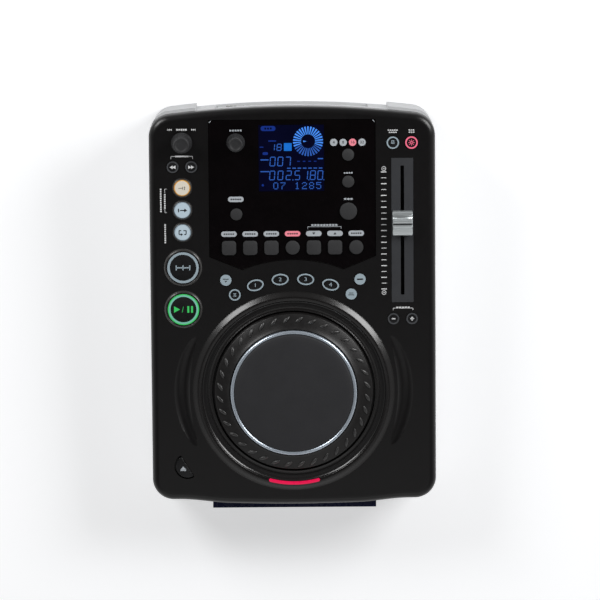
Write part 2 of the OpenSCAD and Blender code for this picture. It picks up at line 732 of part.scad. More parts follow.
module jog_bezel() {
    liner = well_r - 0.2;
    color("#201f21") deck() translate([0, jog_v, 0]) difference() {
        rotate_extrude($fn = 96) polygon([[groove_r, pan_floor], [groove_r, -1.1],
            [well_r - 0.3, -0.4], [well_r + 0.4, 0.5], [lip_r - 8, 0.5 * lip_h],
            [lip_r - 7.4, 0.75 * lip_h], [lip_r - 5, lip_h], [lip_r - 4, 0.88 * lip_h],
            [lip_r, 0], [liner, 0], [liner, pan_floor]]);
        rotate([0, 0, 270 - led_half - 0.2]) rotate_extrude(angle = 2 * led_half + 0.4, $fn = 96)
            translate([led_r - led_w / 2 - 0.1, led_w0]) square([led_w + 0.2, lip_h]);
    }
}

led_r = lip_r - 6.15;
led_w = 2.7;
led_w0 = 0.8;
led_half = asin(19.6 / led_r);

module led_strip() {
    color("#f2124f") deck() translate([0, jog_v, 0]) rotate([0, 0, 270 - led_half])
        rotate_extrude(angle = 2 * led_half, $fn = 96)
            translate([led_r - led_w / 2, led_w0]) square([led_w, lip_h - led_w0 + 0.1]);
}

slope = atan2(jog_top_h - jog_rim_h, jog_r - jog_edge_r);
seat_h = 5;
stud_r = (jog_r + jog_edge_r) / 2 + 0.9;

module jog_wheel() {
    color("#232223") deck() translate([0, jog_v, 0]) {
        rotate_extrude($fn = 96) polygon([[0, seat_h], [ring_r + 0.2, seat_h],
            [ring_r + 0.2, jog_top_h - 1.2], [jog_edge_r - 1, jog_top_h - 1.2],
            [jog_edge_r - 0.6, jog_top_h + 0.3], [jog_edge_r, jog_top_h], [jog_r, jog_rim_h],
            [jog_r, pan_floor + 1.5], [jog_r - 2, pan_floor + 1.5], [jog_r - 2, jog_rim_h - 1],
            [jog_edge_r - 4, seat_h - 2.5], [boss_r, seat_h - 2.5], [boss_r, pan_floor + bearing_gap],
            [shaft_r, pan_floor + bearing_gap], [shaft_r, boss_end - 0.3],
            [shaft_r + 2.5, boss_end - 0.3], [shaft_r + 2.5, boss_end - 1.2], [0, boss_end - 1.2]]);
        for (i = [0 : stud_count - 1]) rotate([0, 0, i * 360 / stud_count])
            translate([stud_r, 0, jog_rim_h + (jog_r - stud_r) * tan(slope)])
                rotate([0, slope, 0]) rotate([0, 0, stud_lean - 90])
                    translate([0, 0, -0.5]) linear_extrude(1.1) rounded(stud_l, stud_w, stud_w / 2 - 0.05);
    }
}

module jog_trim_ring() {
    color("#c3c8ce") deck() translate([0, jog_v, 0]) rotate_extrude($fn = 96)
        polygon([[pad_r + 0.1, seat_h], [ring_r, seat_h], [ring_r, pad_h - 2.2],
            [ring_r - 0.5, pad_h - 1.7], [pad_r + 0.5, pad_h - 1.5], [pad_r + 0.1, pad_h - 1.8]]);
}

module jog_pad() {
    color("#343436") deck() translate([0, jog_v, 0]) rotate_extrude($fn = 96)
        polygon([[0, seat_h], [pad_r, seat_h], [pad_r, pad_h - 1.9], [pad_r - 0.8, pad_h - 1.1],
            [pad_r - 6, pad_h - 0.6], [pad_r * 0.6, pad_h - 0.2], [0, pad_h]]);
}

// ---- Knobs ----

module knob(p, r, top_r, h, w0, shade) {
    flute_r = 0.7;
    lean = atan2(r - top_r, h);
    color(shade) deck() translate([p.x, p.y, 0]) {
        difference() {
            rotate_extrude() polygon([[0, w0], [r, w0], [r, w0 + 1.2], [r - 0.9, w0 + 2],
                [top_r + 0.5, h - 0.8], [top_r - 0.3, h], [top_r - 1.4, h], [top_r - 2, h - 0.5],
                [0, h - 0.5]]);
            for (i = [0 : flute_count - 1]) rotate([0, 0, i * 360 / flute_count])
                translate([r - 0.4, 0, w0 + 2.4]) rotate([0, -lean, 0])
                    cylinder(r = flute_r, h = h + 4, $fn = 24);
        }
        translate([0, 0, -control_depth + 2]) cylinder(r = knob_shaft_r, h = control_depth - 2 + w0 + eps);
    }
}

module track_knob() {
    knob(knobs[0], track_r, track_top_r, track_h, key_gap, "#2a2a2b");
}

module folder_knob() {
    knob(knobs[1], folder_r, folder_top_r, folder_h, panel_top + key_gap, "#2a2a2b");
}

// ---- The pitch fader ----

module fader_plate() {
    color("#4a4a4c") deck() difference() {
        slab(-1.4, -0.2) translate([fader_u, fader_v]) square([fader_w, fader_l], center = true);
        slab(-2, 1) translate([fader_u, fader_v]) square([fader_slot_w, fader_slot_l], center = true);
    }
}

module fader_body() {
    color("#8d9093") deck() difference() {
        slab(-cover_t - fader_body_d, -cover_t) translate([fader_u, fader_v])
            square([fader_w - 4, fader_l], center = true);
        slab(-cover_t - fader_body_d + 1.2, 1) translate([fader_u, fader_v])
            square([fader_slot_w + 1.6, fader_slot_l + 1.6], center = true);
    }
}

module fader_cap() {
    lever_end = -cover_t - fader_body_d + 2;
    foot = 0.3;
    color("#c9ccd0") deck() translate([fader_u, cap_v, 0]) {
        translate([-lever_t / 2, -1, lever_end]) cube([lever_t, 2, foot + 1 - lever_end]);
        rotate([90, 0, 90]) translate([0, 0, -cap_w / 2]) linear_extrude(cap_w)
            polygon(cap_side(foot));
    }
}

// Side of the fader cap: ribbed slopes up to a saddle with a line groove
function cap_side(foot) = let (h = cap_h, half = cap_l / 2, rib = cap_l / 14)
    concat([[-half, foot], [half, foot], [half, foot + 2.5]],
        [for (i = [0 : 3]) each [[half - 1.2 - i * rib, h - 3.6 + i * 0.9],
            [half - 1.2 - (i + 0.5) * rib, h - 3.6 + i * 0.9 + 0.2]]],
        [[half * 0.18, h - 1.6], [0.5, h - 1.8], [0.5, h - 2.3], [-0.5, h - 2.3], [-0.5, h - 1.8],
            [-half * 0.18, h - 1.6]],
        [for (i = [3 : -1 : 0]) each [[-half + 1.2 + (i + 0.5) * rib, h - 3.6 + i * 0.9 + 0.2],
            [-half + 1.2 + i * rib, h - 3.6 + i * 0.9]]],
        [[-half, foot + 2.5]]);

// ---- Keys ----

module search_back() { key(k_search_back, low_key_h, "#232323"); }
module search_forward() { key(k_search_forward, low_key_h, "#232323"); }
module loop_in() { key(k_loop_in, low_key_h, "#f6dcae"); }
module loop_out() { key(k_loop_out, low_key_h, "#c5d3dc"); }
module reloop() { key(k_reloop, low_key_h, "#c5d3dc"); }
module cue() { key(k_cue, low_key_h, "#181818"); }
module play() { key(k_play, low_key_h, "#181818"); }
module eject() { key(k_eject, low_key_h, "#262626"); }
module scratch() { key(k_scratch, low_key_h, "#3c3c3e"); }
module effect_1() { key(k_effect_1, effect_key_h, "#3c3c3e"); }
module effect_2() { key(k_effect_2, effect_key_h, "#3c3c3e"); }
module effect_3() { key(k_effect_3, effect_key_h, "#3c3c3e"); }
module effect_4() { key(k_effect_4, effect_key_h, "#3c3c3e"); }
module param_down() { key(k_param_down, effect_key_h, "#3c3c3e"); }
module param_up() { key(k_param_up, effect_key_h, "#3c3c3e"); }
module hold() { key(k_hold, effect_key_h, "#3c3c3e"); }
module range() { key(k_range, effect_key_h, "#3c3c3e"); }
module time() { key(k_time, effect_key_h, "#3c3c3e"); }
module tap() { key(k_tap, effect_key_h, "#3c3c3e"); }
module tempo_lock() { key(k_tempo_lock, low_key_h, "#202123"); }
module pitch_on() { key(k_pitch_on, low_key_h, "#5a1218"); }
module bend_minus() { key(k_bend_minus, low_key_h, "#242424"); }
module bend_plus() { key(k_bend_plus, low_key_h, "#242424"); }
module bank_1() { key(k_bank_1, low_key_h, "#c2ced6"); }
module bank_2() { key(k_bank_2, low_key_h, "#c2ced6"); }
module bank_3() { key(k_bank_3, low_key_h, "#c2ced6"); }
module bank_4() { key(k_bank_4, low_key_h, "#c2ced6"); }
module bank_select() { key(k_bank_select, low_key_h, "#c2ced6"); }
module memory() { key(k_memory, low_key_h, "#c2ced6"); }
module time_mode() { key(k_time_mode, low_key_h, "#c2ced6"); }
module play_mode() { key(k_play_mode, low_key_h, "#c2ced6"); }

// ---- Boards ----

// Tact switches and knob encoders stand on the control board
module control_board() {
    top = -control_depth;
    color("#1e5a3a") deck() difference() {
        union() {
            slab(top - board_t, top) polygon(ring(10));
            for (k = all_keys) translate(concat(key_mid(k), [top])) {
                translate([-3, -3, -eps]) cube([6, 6, 3.5]);
                cylinder(r = 1.6, h = plunger_top - top);
            }
            for (p = knobs) translate([p.x, p.y, top]) {
                translate([-6, -6, -eps]) cube([12, 12, 6.5]);
                cylinder(r = knob_shaft_r + 1.5, h = control_depth - cover_t - 1);
            }
        }
        for (p = knobs) disc(p, knob_shaft_r + run_gap, top + 1, 0);
        disc([0, jog_v], boss_r + 3, top - board_t - 1, top + 1);
        for (p = posts) disc(p, pilot_r + 0.3, top - board_t - 1, top + 1);
    }
}

// The place of a part on a board, which moves with the board's size
function on_board(rect, plan, x, y) = [x * rect[2] / plan.x, y * rect[3] / plan.y, 0];
function on_main(x, y) = on_board(main_rect, main_plan, x, y);
function on_supply(x, y) = on_board(supply_rect, supply_plan, x, y);

module board(rect) {
    translate([rect[0], rect[1], board_z]) difference() {
        cube([rect[2], rect[3], board_t]);
        for (p = corners([0, 0, rect[2], rect[3]])) disc(p, pilot_r + 0.3, -1, board_t + 1);
    }
}

module main_board() {
    top = board_z + board_t - eps;
    color("#1f6b45") union() {
        board(main_rect);
        translate([main_rect[0], main_rect[1], top]) {
            translate(on_main(44, 48)) cube([28, 28, 3]);
            translate(on_main(82, 52)) cube([18, 12, 2.5]);
            translate(on_main(16, 54)) cube([16, 20, 2.5]);
            translate(on_main(50, 14)) cube([40, 6, 9]);
            translate(on_main(20, 92)) cube([30, 8, 9]);
            for (i = [0 : 3]) translate(on_main(76 + 12 * i, 96)) cylinder(r = 4, h = 12);
            for (i = [0 : 2]) translate(on_main(20 + 10 * i, 30)) cylinder(r = 3.2, h = 8);
        }
    }
}

module power_supply() {
    top = board_z + board_t - eps;
    color("#8a6a2c") union() {
        board(supply_rect);
        translate([supply_rect[0], supply_rect[1], top]) {
            translate(on_supply(12, 40)) cube([34, 40, 26]);
            translate(on_supply(12, 40) + [4, -8, 3]) cube([26, 56, 18]);
            translate(on_supply(20, 100)) cylinder(r = 9, h = 26);
            translate(on_supply(42, 102)) cylinder(r = 6, h = 20);
            translate(on_supply(12, 14)) {
                for (i = [0 : 5]) translate([6 * i, 0, 0]) cube([2, 12, 20]);
                translate([0, 4, 0]) cube([32, 3, 20]);
            }
        }
    }
}

// ---- Rear connections ----

module rear_panel() {
    color("#3a3b3e") difference() {
        translate([-bay_w / 2 + static_gap, bay_y, bay_z + static_gap])
            cube([bay_w - 2 * static_gap, 1.5, bay_h - 2 * static_gap]);
        for (i = [0 : 2]) jack_way(jack_x + i * phono_pitch, phono_r + static_gap);
        jack_way(remote_x, 3 + static_gap);
        shell_way(inlet_x, inlet_w, inlet_h);
        shell_way(rocker_x, rocker_w, rocker_h);
        for (p = panel_screws) jack_way(p.x, pilot_r + 0.3, p.y);
    }
}

// The window of a socket's shell in the rear panel
module shell_way(x, w, h) {
    wide = w + 4 + 2 * static_gap;
    tall = h + 4 + 2 * static_gap;
    translate([x - wide / 2, bay_y - 1, jack_z - tall / 2]) cube([wide, 4, tall]);
}

module jack_way(x, r, z = jack_z) {
    translate([x, bay_y + 5, z]) rotate([90, 0, 0]) cylinder(r = r, h = 10);
}

module rear_jacks() {
    face = bay_y + 1.5;
    color("#b9a45c") {
        for (i = [0 : 2]) translate([jack_x + i * phono_pitch, face, jack_z]) difference() {
            union() {
                rotate([-90, 0, 0]) cylinder(r = phono_r, h = phono_l);
                rotate([90, 0, 0]) cylinder(r = phono_r - 0.3, h = 2);
                translate([-6, -1.5 - 10, -6]) cube([12, 10, 12]);
            }
            translate([0, phono_l + 1, 0]) rotate([90, 0, 0]) cylinder(r = 1.6, h = phono_l + 1);
        }
        translate([remote_x, face, jack_z]) difference() {
            union() {
                rotate([-90, 0, 0]) cylinder(r = 4, h = 2);
                rotate([90, 0, 0]) cylinder(r = 3, h = 2);
                translate([-5, -1.5 - 12, -5]) cube([10, 12, 10]);
            }
            translate([0, 3, 0]) rotate([90, 0, 0]) cylinder(r = remote_r, h = 14);
        }
    }
    color("#151515") {
        socket_shell(inlet_x, inlet_w, inlet_h, 17, 15);
        for (x = [-7, 0, 7]) translate([inlet_x + x - 1, face - 14, jack_z - (x == 0 ? -2 : 4)])
            cube([2, 10.5, 4]);
        difference() {
            socket_shell(rocker_x, rocker_w, rocker_h, 14, 12);
            rocker_bar(rocker_pin_r + run_gap, rocker_pin_l + 2 * key_gap);
        }
    }
}

// A flanged shell in the rear panel, open to the rear
module socket_shell(x, w, h, depth, hollow) {
    face = bay_y + 1.5;
    translate([x, face, jack_z]) difference() {
        union() {
            translate([-w / 2 - 2, -depth, -h / 2 - 2]) cube([w + 4, depth, h + 4]);
            translate([-w / 2 - 4, 0, -h / 2 - 3.5]) cube([w + 8, 2, h + 7]);
        }
        translate([-w / 2, -hollow + 1, -h / 2]) cube([w, hollow + 4, h]);
    }
}

rocker_y = bay_y - 1.5;
rocker_tilt = 8;
rocker_pin_r = 1.2;
rocker_pin_l = rocker_w + 2;

// A bar along the rocker's axis
module rocker_bar(r, l) {
    translate([rocker_x - l / 2, rocker_y, jack_z]) rotate([0, 90, 0]) cylinder(r = r, h = l);
}

module power_switch() {
    w = rocker_w - 2 * key_gap;
    reach = rocker_h / 2 - key_gap - 0.2;
    color("#1c1c1c") union() {
        translate([rocker_x - w / 2, rocker_y, jack_z]) rotate([rocker_tilt, 0, 0])
            rotate([90, 0, 90]) linear_extrude(w)
                polygon([[-2, -2], [0.5, -reach * 0.9], [5.6, -reach * 0.92], [4.4, 0],
                    [5.6, reach * 0.92], [0.5, reach * 0.9], [-2, 2]]);
        rocker_bar(rocker_pin_r, rocker_pin_l);
    }
}

// ---- The disc drive ----

module drive_chassis() {
    h = drive_top - drive_z;
    inner = [drive_w - 2 * sheet_t, drive_l - 2 * sheet_t, h - 2 * sheet_t];
    back = drive_y + drive_l - sheet_t;
    color("#9a9da1") {
        difference() {
            union() {
                difference() {
                    translate([-drive_w / 2, drive_y, drive_z]) cube([drive_w, drive_l, h]);
                    translate([-inner.x / 2, drive_y + sheet_t, drive_z + sheet_t]) cube(inner);
                }
                translate([0, spindle_y, drive_z + eps]) cylinder(r = 12, h = 11);
                for (s = [-1, 1]) translate([s * rod_x - 4, spindle_y - 20, drive_z + eps])
                    cube([8, 5, rod_z + 4 - drive_z]);
                translate([-feed_x - 4, spindle_y + 14, drive_z + eps]) cube([8, 3, rod_z + 4 - drive_z]);
                translate([-feed_x, spindle_y + 14 + eps, rod_z]) rotate([90, 0, 0]) cylinder(r = 5, h = 14);
            }
            translate([-slot_w / 2, drive_y - 1, slot_z - slot_h / 2]) cube([slot_w, sheet_t + 2, slot_h]);
            translate([0, spindle_y, drive_z + 4]) cylinder(r = 1 + run_gap, h = 20);
            translate([-feed_x, back + 4, rod_z]) rotate([90, 0, 0])
                cylinder(r = feed_r + run_gap, h = back - spindle_y - 7);
            for (s = [-1, 1]) translate([s * (drive_w / 2 - 4), drive_y + 8, roller_z])
                rotate([0, s * 90, 0]) cylinder(r = 1.5 + run_gap, h = 8);
            for (p = drive_feet) disc(p, pilot_r + 0.3, drive_z - 1, drive_z + sheet_t + 1);
        }
        for (s = [-1, 1]) translate([s * rod_x, back + eps, rod_z]) rotate([90, 0, 0])
            cylinder(r = rod_r, h = back - spindle_y + 15 + 2 * eps);
    }
}

roller_z = slot_z - slot_h / 2 - roller_r - 0.5;

module loading_roller() {
    half = drive_w / 2;
    color("#3b3530") translate([0, drive_y + 8, roller_z]) rotate([0, 90, 0]) {
        translate([0, 0, -half]) cylinder(r = 1.5, h = 2 * half);
        translate([0, 0, -half + 8]) cylinder(r = roller_r, h = 2 * half - 16);
    }
}

module turntable() {
    z0 = slot_z - slot_h / 2 - 5.5;
    color("#2d2d2f") translate([0, spindle_y, 0]) {
        translate([0, 0, z0]) cylinder(r = turntable_r, h = 3.2);
        translate([0, 0, z0 + 3.2 - eps]) cylinder(r = spigot_r, h = 1.9);
        translate([0, 0, drive_z + 5]) cylinder(r = 1, h = z0 - drive_z - 5 + eps);
    }
}

sled_y = spindle_y + 26;

module optical_sled() {
    color("#26282c") translate([0, sled_y, 0]) difference() {
        union() {
            translate([-feed_x - 4, -8, rod_z - 3.5]) cube([feed_x + rod_x + 8, 16, 7]);
            translate([0, 0, rod_z + 3.5 - eps]) cylinder(r = 4.5, h = 2);
        }
        for (x = [-rod_x, rod_x]) translate([x, 9, rod_z]) rotate([90, 0, 0])
            cylinder(r = rod_r + run_gap, h = 18);
        translate([-feed_x, 9, rod_z]) rotate([90, 0, 0]) cylinder(r = feed_r + run_gap, h = 18);
        translate([0, 0, rod_z + 4.5]) cylinder(r = 3, h = 2);
    }
}

module lead_screw() {
    y0 = spindle_y + 14.5;
    y1 = drive_y + drive_l - 0.2;
    color("#c8cace") translate([-feed_x, y0, rod_z]) rotate([-90, 0, 0])
        cylinder(r = feed_r, h = y1 - y0);
}

// ---- Screws ----

// A pan-head screw along -Z, with the underside of its head at the origin
module screw(l) {
    difference() {
        union() {
            cylinder(r = 2.6, h = 1.8);
            translate([0, 0, -l]) cylinder(r = 1.25, h = l + eps);
        }
        translate([-1.6, -0.3, 0.9]) cube([3.2, 0.6, 2]);
        translate([-0.3, -1.6, 0.9]) cube([0.6, 3.2, 2]);
    }
}

module screws() {
    color("#6d6f73") {
        for (p = board_posts) translate([p.x, p.y, board_z + board_t]) screw(6);
        for (p = drive_feet) translate([p.x, p.y, drive_z + sheet_t]) screw(4);
        for (p = foot_places) translate([p.x, p.y, 2.5]) mirror([0, 0, 1]) screw(floor_t + 3.5);
        for (p = panel_screws) translate([p.x, bay_y + 1.5, p.y]) rotate([-90, 0, 0]) screw(4);
        deck() {
            for (p = posts) translate([p.x, p.y, -control_depth - board_t]) mirror([0, 0, 1]) screw(6);
            for (v = tab_v, s = [-1, 1])
                translate([s * (half_w - base_inset), v, tab_screw_w]) rotate([0, -s * 90, 0]) side_screw();
        }
    }
}

module side_screw() {
    difference() {
        union() {
            translate([0, 0, 0.1]) cylinder(r1 = 2.9, r2 = 1.4, h = 1.5);
            translate([0, 0, 1.6 - eps]) cylinder(r = 1.25, h = wall_t + tab_t - 2);
        }
        translate([-1.6, -0.3, -1]) cube([3.2, 0.6, 1.8]);
        translate([-0.3, -1.6, -1]) cube([0.6, 3.2, 1.8]);
    }
}

base_housing();
top_cover();
fascia_panel();
display_module();
jog_bezel();
led_strip();
fader_plate();
fader_body();
button_bezels();
slot_trim();
feet();
screws();
main_board();
control_board();
power_supply();
rear_panel();
rear_jacks();
drive_chassis();
jog_wheel();
jog_trim_ring();
jog_pad();
track_knob();
folder_knob();
fader_cap();
search_back();
search_forward();
loop_in();
loop_out();
reloop();
cue();
play();
eject();
scratch();
effect_1();
effect_2();
effect_3();
effect_4();
param_down();
param_up();
hold();
range();
time();
tap();
tempo_lock();
pitch_on();
bend_minus();
bend_plus();
bank_1();
bank_2();
bank_3();
bank_4();
bank_select();
memory();
time_mode();
play_mode();
turntable();
optical_sled();
lead_screw();
loading_roller();
power_switch();
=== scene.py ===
import bmesh
import bpy
import math
from mathutils import Matrix, Vector


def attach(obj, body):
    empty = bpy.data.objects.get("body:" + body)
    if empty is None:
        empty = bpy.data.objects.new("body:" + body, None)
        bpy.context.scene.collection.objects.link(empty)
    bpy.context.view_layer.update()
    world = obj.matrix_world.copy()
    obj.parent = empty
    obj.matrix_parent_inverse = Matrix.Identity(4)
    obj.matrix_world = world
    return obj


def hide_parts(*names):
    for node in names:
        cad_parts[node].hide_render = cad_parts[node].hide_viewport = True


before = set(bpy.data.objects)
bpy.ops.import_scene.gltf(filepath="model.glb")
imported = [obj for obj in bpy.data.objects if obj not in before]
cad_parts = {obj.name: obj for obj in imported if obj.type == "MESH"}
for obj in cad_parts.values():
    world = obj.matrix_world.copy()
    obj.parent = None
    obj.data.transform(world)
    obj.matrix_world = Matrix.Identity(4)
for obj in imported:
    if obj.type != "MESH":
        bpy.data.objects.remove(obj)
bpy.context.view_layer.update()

# ---- The deck's frame: u right, v towards the rear, w out of the deck, in millimetres ----

# Its origin lies in the deck's middle line at the cover's flat top, and the jog wheel's axis stands at JOG_V.

MM = 0.001
JOG_V = -66.35
DECK_RISE = 80
DECK_LEAN = math.radians(5)
SLOPE_OF_DECK = Matrix.Translation((0, 0, DECK_RISE * MM)) @ Matrix.Rotation(DECK_LEAN, 4, "X")
TABLE = Matrix.Identity(4)


def box_in(place, node):
    """Lowest and highest corner of a CAD node in a frame, in millimetres."""
    inside = place.inverted()
    points = [inside @ v.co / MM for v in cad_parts[node].data.vertices]
    return (
        Vector([min(p[i] for p in points) for i in range(3)]),
        Vector([max(p[i] for p in points) for i in range(3)]),
    )


pad_low, pad_high = box_in(SLOPE_OF_DECK, "jog_pad")
DECK = SLOPE_OF_DECK @ Matrix.Translation((0, ((pad_low.y + pad_high.y) / 2 - JOG_V) * MM, 0))


def deck_box(node):
    return box_in(DECK, node)


def middle(node):
    low, high = deck_box(node)
    return (low + high) / 2


def plan(node):
    """Middle, width and length of a CAD node, seen along the deck's normal."""
    low, high = deck_box(node)
    return ((low.x + high.x) / 2, (low.y + high.y) / 2), high.x - low.x, high.y - low.y


COVER_LOW, COVER_HIGH = deck_box("top_cover")
HALF_W = COVER_HIGH.x
REAR, FRONT = COVER_HIGH.y, COVER_LOW.y
SKIRT = 10
ROLL_WIDE, ROLL_DEEP = 6.2, 4.2
COVER_T, WALL, EDGE = 3.5, 3, 0.15
AXIS = (0, middle("jog_pad").y)
PANEL_HIGH = deck_box("fascia_panel")[1]
PANEL_W = PANEL_HIGH.z
GLASS = plan("display_module")[0]
GLASS_W = deck_box("display_module")[1].z
FADER, PLATE_WIDE, PLATE_LONG = plan("fader_plate")

# ---- Materials ----


def pale(**glow):
    """The grain of the keys' pale tops, and their glow where they have one."""
    return dict(grain=1600, bump=0.04, spread=0.03, **glow)


def lit(glow, strength):
    """A smooth surface that glows."""
    return dict(bump=0.02, glow=glow, strength=strength)


# Base colour, roughness and what else differs from shader()'s own values.
FINISHES = {
    "base_grey": ((0.72, 0.73, 0.74), 0.48, dict(grain=1600, bump=0.1, spread=0.02)),
    "cover_black": ((0.0045, 0.0039, 0.0042), 0.3, dict(
        grain=2600, bump=0.0466667, spread=0.1, specular=0.55, rough_spread=0.015)),
    "panel_gloss": ((0.0024, 0.0014, 0.0018), 0.12, dict(bump=0.01, spread=0.25, rough_spread=0.03)),
    "display_glass": ((0.0012, 0.0012, 0.009), 0.1, dict(
        bump=0.01, spread=0.3, rough_spread=0.02, glow=(0, 0.0006, 0.011), strength=0.6)),
    "fader_grey": ((0.044, 0.046, 0.051), 0.45, dict(grain=2200, bump=0.1, spread=0.06)),
    "steel": ((0.55, 0.56, 0.58), 0.32, dict(metallic=1, bump=0.05, spread=0.06)),
    "bezel_black": ((0.03, 0.028, 0.027), 0.26, dict(bump=0.02, spread=0.08, specular=0.8)),
    "trim_navy": ((0.01, 0.014, 0.06), 0.28, dict(bump=0.04)),
    "rubber": ((0.015, 0.015, 0.015), 0.75, dict(grain=1800, bump=0.25)),
    "board_green": ((0.02, 0.14, 0.07), 0.35, dict(grain=500, bump=0.15, spread=0.3)),
    "supply_board": ((0.3, 0.16, 0.04), 0.5, dict(grain=500, bump=0.15, spread=0.3)),
    "panel_grey": ((0.05, 0.052, 0.056), 0.5, dict(grain=1800, bump=0.2)),
    "jack_metal": ((0.44, 0.43, 0.41), 0.28, dict(metallic=1, bump=0.03)),
    "jog_black": ((0.0125, 0.0115, 0.0115), 0.35, dict(grain=2600, bump=0.1, specular=0.45)),
    "stud_black": ((0.016, 0.015, 0.015), 0.4, dict(grain=2600, bump=0.03, specular=1)),
    "lip_black": ((0.0085, 0.0075, 0.0075), 0.24, dict(
        grain=2600, bump=0.004, specular=0.75, rough_spread=0.01)),
    "ring_silver": ((0.56, 0.63, 0.71), 0.26, dict(
        metallic=0.6, bump=0.005, spread=0.03, rough_spread=0.02)),
    "pad_grey": ((0.023, 0.023, 0.026), 0.62, dict(grain=3400, bump=0.25, depth=0.00003, spread=0.08)),
    "knob_black": ((0.023, 0.023, 0.025), 0.55, dict(grain=2800, bump=0.2)),
    "cap_silver": ((0.7, 0.75, 0.76), 0.3, dict(
        metallic=0.75, grain=1200, bump=0.01, spread=0.03, rough_spread=0.02)),
    "key_rubber": ((0.034, 0.034, 0.036), 0.6, dict(grain=2600, bump=0.2)),
    "key_dark": ((0.008, 0.008, 0.009), 0.3, dict(grain=2000, bump=0.05)),
    # Grey for the rings on the dark search and bend keys: a painted sheen for their glossy rims.
    "key_sheen_grey": ((0.075, 0.078, 0.085), 0.32, dict(grain=2000, bump=0.04, specular=0.7)),
    "key_pale": ((0.42, 0.52, 0.58), 0.38, pale()),
    "key_lit": ((0.46, 0.56, 0.62), 0.38, pale(glow=(0.6, 0.76, 0.9), strength=0.22)),
    "key_cream": ((0.62, 0.58, 0.5), 0.4, pale(glow=(0.95, 0.86, 0.72), strength=0.26)),
    "key_amber": ((0.8, 0.46, 0.14), 0.4, pale(glow=(1, 0.5, 0.12), strength=0.3)),
    # Pale print. The panel's corner ticks also use it as painted glints.
    "pale_print_and_glint": ((0.56, 0.6, 0.64), 0.45, dict(bump=0.03, spread=0.05)),
    "print_white": ((0.88, 0.89, 0.9), 0.45, dict(bump=0.03, spread=0.04)),
    "print_dark": ((0.02, 0.022, 0.026), 0.5, dict(bump=0.03)),
    "led_red": ((0.3, 0.004, 0.025), 0.3, lit((1, 0.006, 0.1), 0.62)),
    "lit_pink": ((0.62, 0.14, 0.18), 0.4, lit((1, 0.36, 0.44), 0.42)),
    "ring_red": ((0.45, 0.02, 0.06), 0.35, lit((1, 0.26, 0.38), 0.62)),
    "bright_blue": ((0.01, 0.05, 0.2), 0.3, lit((0.07, 0.3, 1), 0.85)),
    "deep_blue": ((0.002, 0.02, 0.1), 0.3, lit((0.006, 0.16, 0.62), 0.92)),
    "mid_blue": ((0.006, 0.03, 0.16), 0.3, lit((0.035, 0.14, 0.56), 0.66)),
    "dim_blue": ((0.003, 0.012, 0.1), 0.3, lit((0.008, 0.055, 0.45), 0.34)),
    "lit_green": ((0.03, 0.2, 0.06), 0.35, lit((0.05, 0.8, 0.16), 0.52)),
    "lit_mint": ((0.14, 0.28, 0.24), 0.35, lit((0.22, 0.8, 0.58), 0.38)),
}
NOISE_LOW, NOISE_HIGH = 0.3, 0.7
TINT_SCALE, GLOSS_SCALE, GLOW_SCALE = 60, 220, 300
GLOW_DIM = 0.88


def open_tree(holder):
    """The nodes of a material or a world, and the function that links them."""
    holder.use_nodes = True
    return holder.node_tree.nodes, holder.node_tree.links.new


def add(nodes, kind, **inputs):
    """A new shader node with the inputs named, where an underscore stands for a space."""
    made = nodes.new("ShaderNode" + kind)
    for name, value in inputs.items():
        made.inputs[name.replace("_", " ")].default_value = value
    return made


def shader(
    name, color, rough, metallic=0, grain=900, bump=0.06, depth=0.00002, spread=0.12, rough_spread=0.05,
    specular=0.5, glow=None, strength=0,
):
    """A moulded, painted or metal finish: its colour, gloss and surface vary with fine grain."""
    material = bpy.data.materials.new(name)
    nodes, link = open_tree(material)
    bsdf = nodes["Principled BSDF"]
    bsdf.inputs["Metallic"].default_value = metallic
    bsdf.inputs["Specular IOR Level"].default_value = specular
    place = nodes.new("ShaderNodeTexCoord")

    def noise(scale, detail):
        texture = add(nodes, "TexNoise", Scale=scale, Detail=detail)
        link(place.outputs["Object"], texture.inputs["Vector"])
        return texture.outputs["Fac"]

    def spanned(level, low, high):
        span = add(nodes, "MapRange", From_Min=NOISE_LOW, From_Max=NOISE_HIGH, To_Min=low, To_Max=high)
        link(level, span.inputs["Value"])
        return span.outputs["Result"]

    def blend(first, second, scale, detail):
        mix = add(nodes, "MixRGB", Color1=(*first, 1), Color2=(*second, 1))
        link(spanned(noise(scale, detail), 0, 1), mix.inputs["Fac"])
        return mix.outputs["Color"]

    darker = [c * (1 - spread) for c in color]
    paler = [min(1, c * (1 + spread)) for c in color]
    link(blend(darker, paler, TINT_SCALE, 4), bsdf.inputs["Base Color"])
    link(spanned(noise(GLOSS_SCALE, 3), rough - rough_spread, rough + rough_spread), bsdf.inputs["Roughness"])
    surface = add(nodes, "Bump", Strength=bump, Distance=depth)
    link(noise(grain, 2), surface.inputs["Height"])
    link(surface.outputs["Normal"], bsdf.inputs["Normal"])
    if glow:
        link(blend([c * GLOW_DIM for c in glow], glow, GLOW_SCALE, 2), bsdf.inputs["Emission Color"])
        bsdf.inputs["Emission Strength"].default_value = strength
    return material


MATERIALS = {name: shader(name, color, rough, **rest) for name, (color, rough, rest) in FINISHES.items()}

# ---- Making meshes ----

LEAST_R, LEAST_FLAT = 0.02, 0.01


def circle(r, n=72, centre=(0, 0)):
    turns = [2 * math.pi * i / n for i in range(n)]
    return [(centre[0] + r * math.cos(a), centre[1] + r * math.sin(a)) for a in turns]


def arc(centre, r, start, end, n):
    turns = [math.radians(start + (end - start) * i / n) for i in range(n + 1)]
    return [(centre[0] + r * math.cos(a), centre[1] + r * math.sin(a)) for a in turns]


def rounded(wide, long, r, centre=(0, 0), n=6):
    """A rectangle with round corners, whose radius stays under half of either side."""
    r = max(LEAST_R, min(r, wide / 2 - LEAST_FLAT, long / 2 - LEAST_FLAT))
    u, v = wide / 2 - r, long / 2 - r
    corners = ((u, v, 0), (-u, v, 90), (-u, -v, 180), (u, -v, 270))
    return [p for x, y, a in corners for p in arc((centre[0] + x, centre[1] + y), r, a, a + 90, n)]


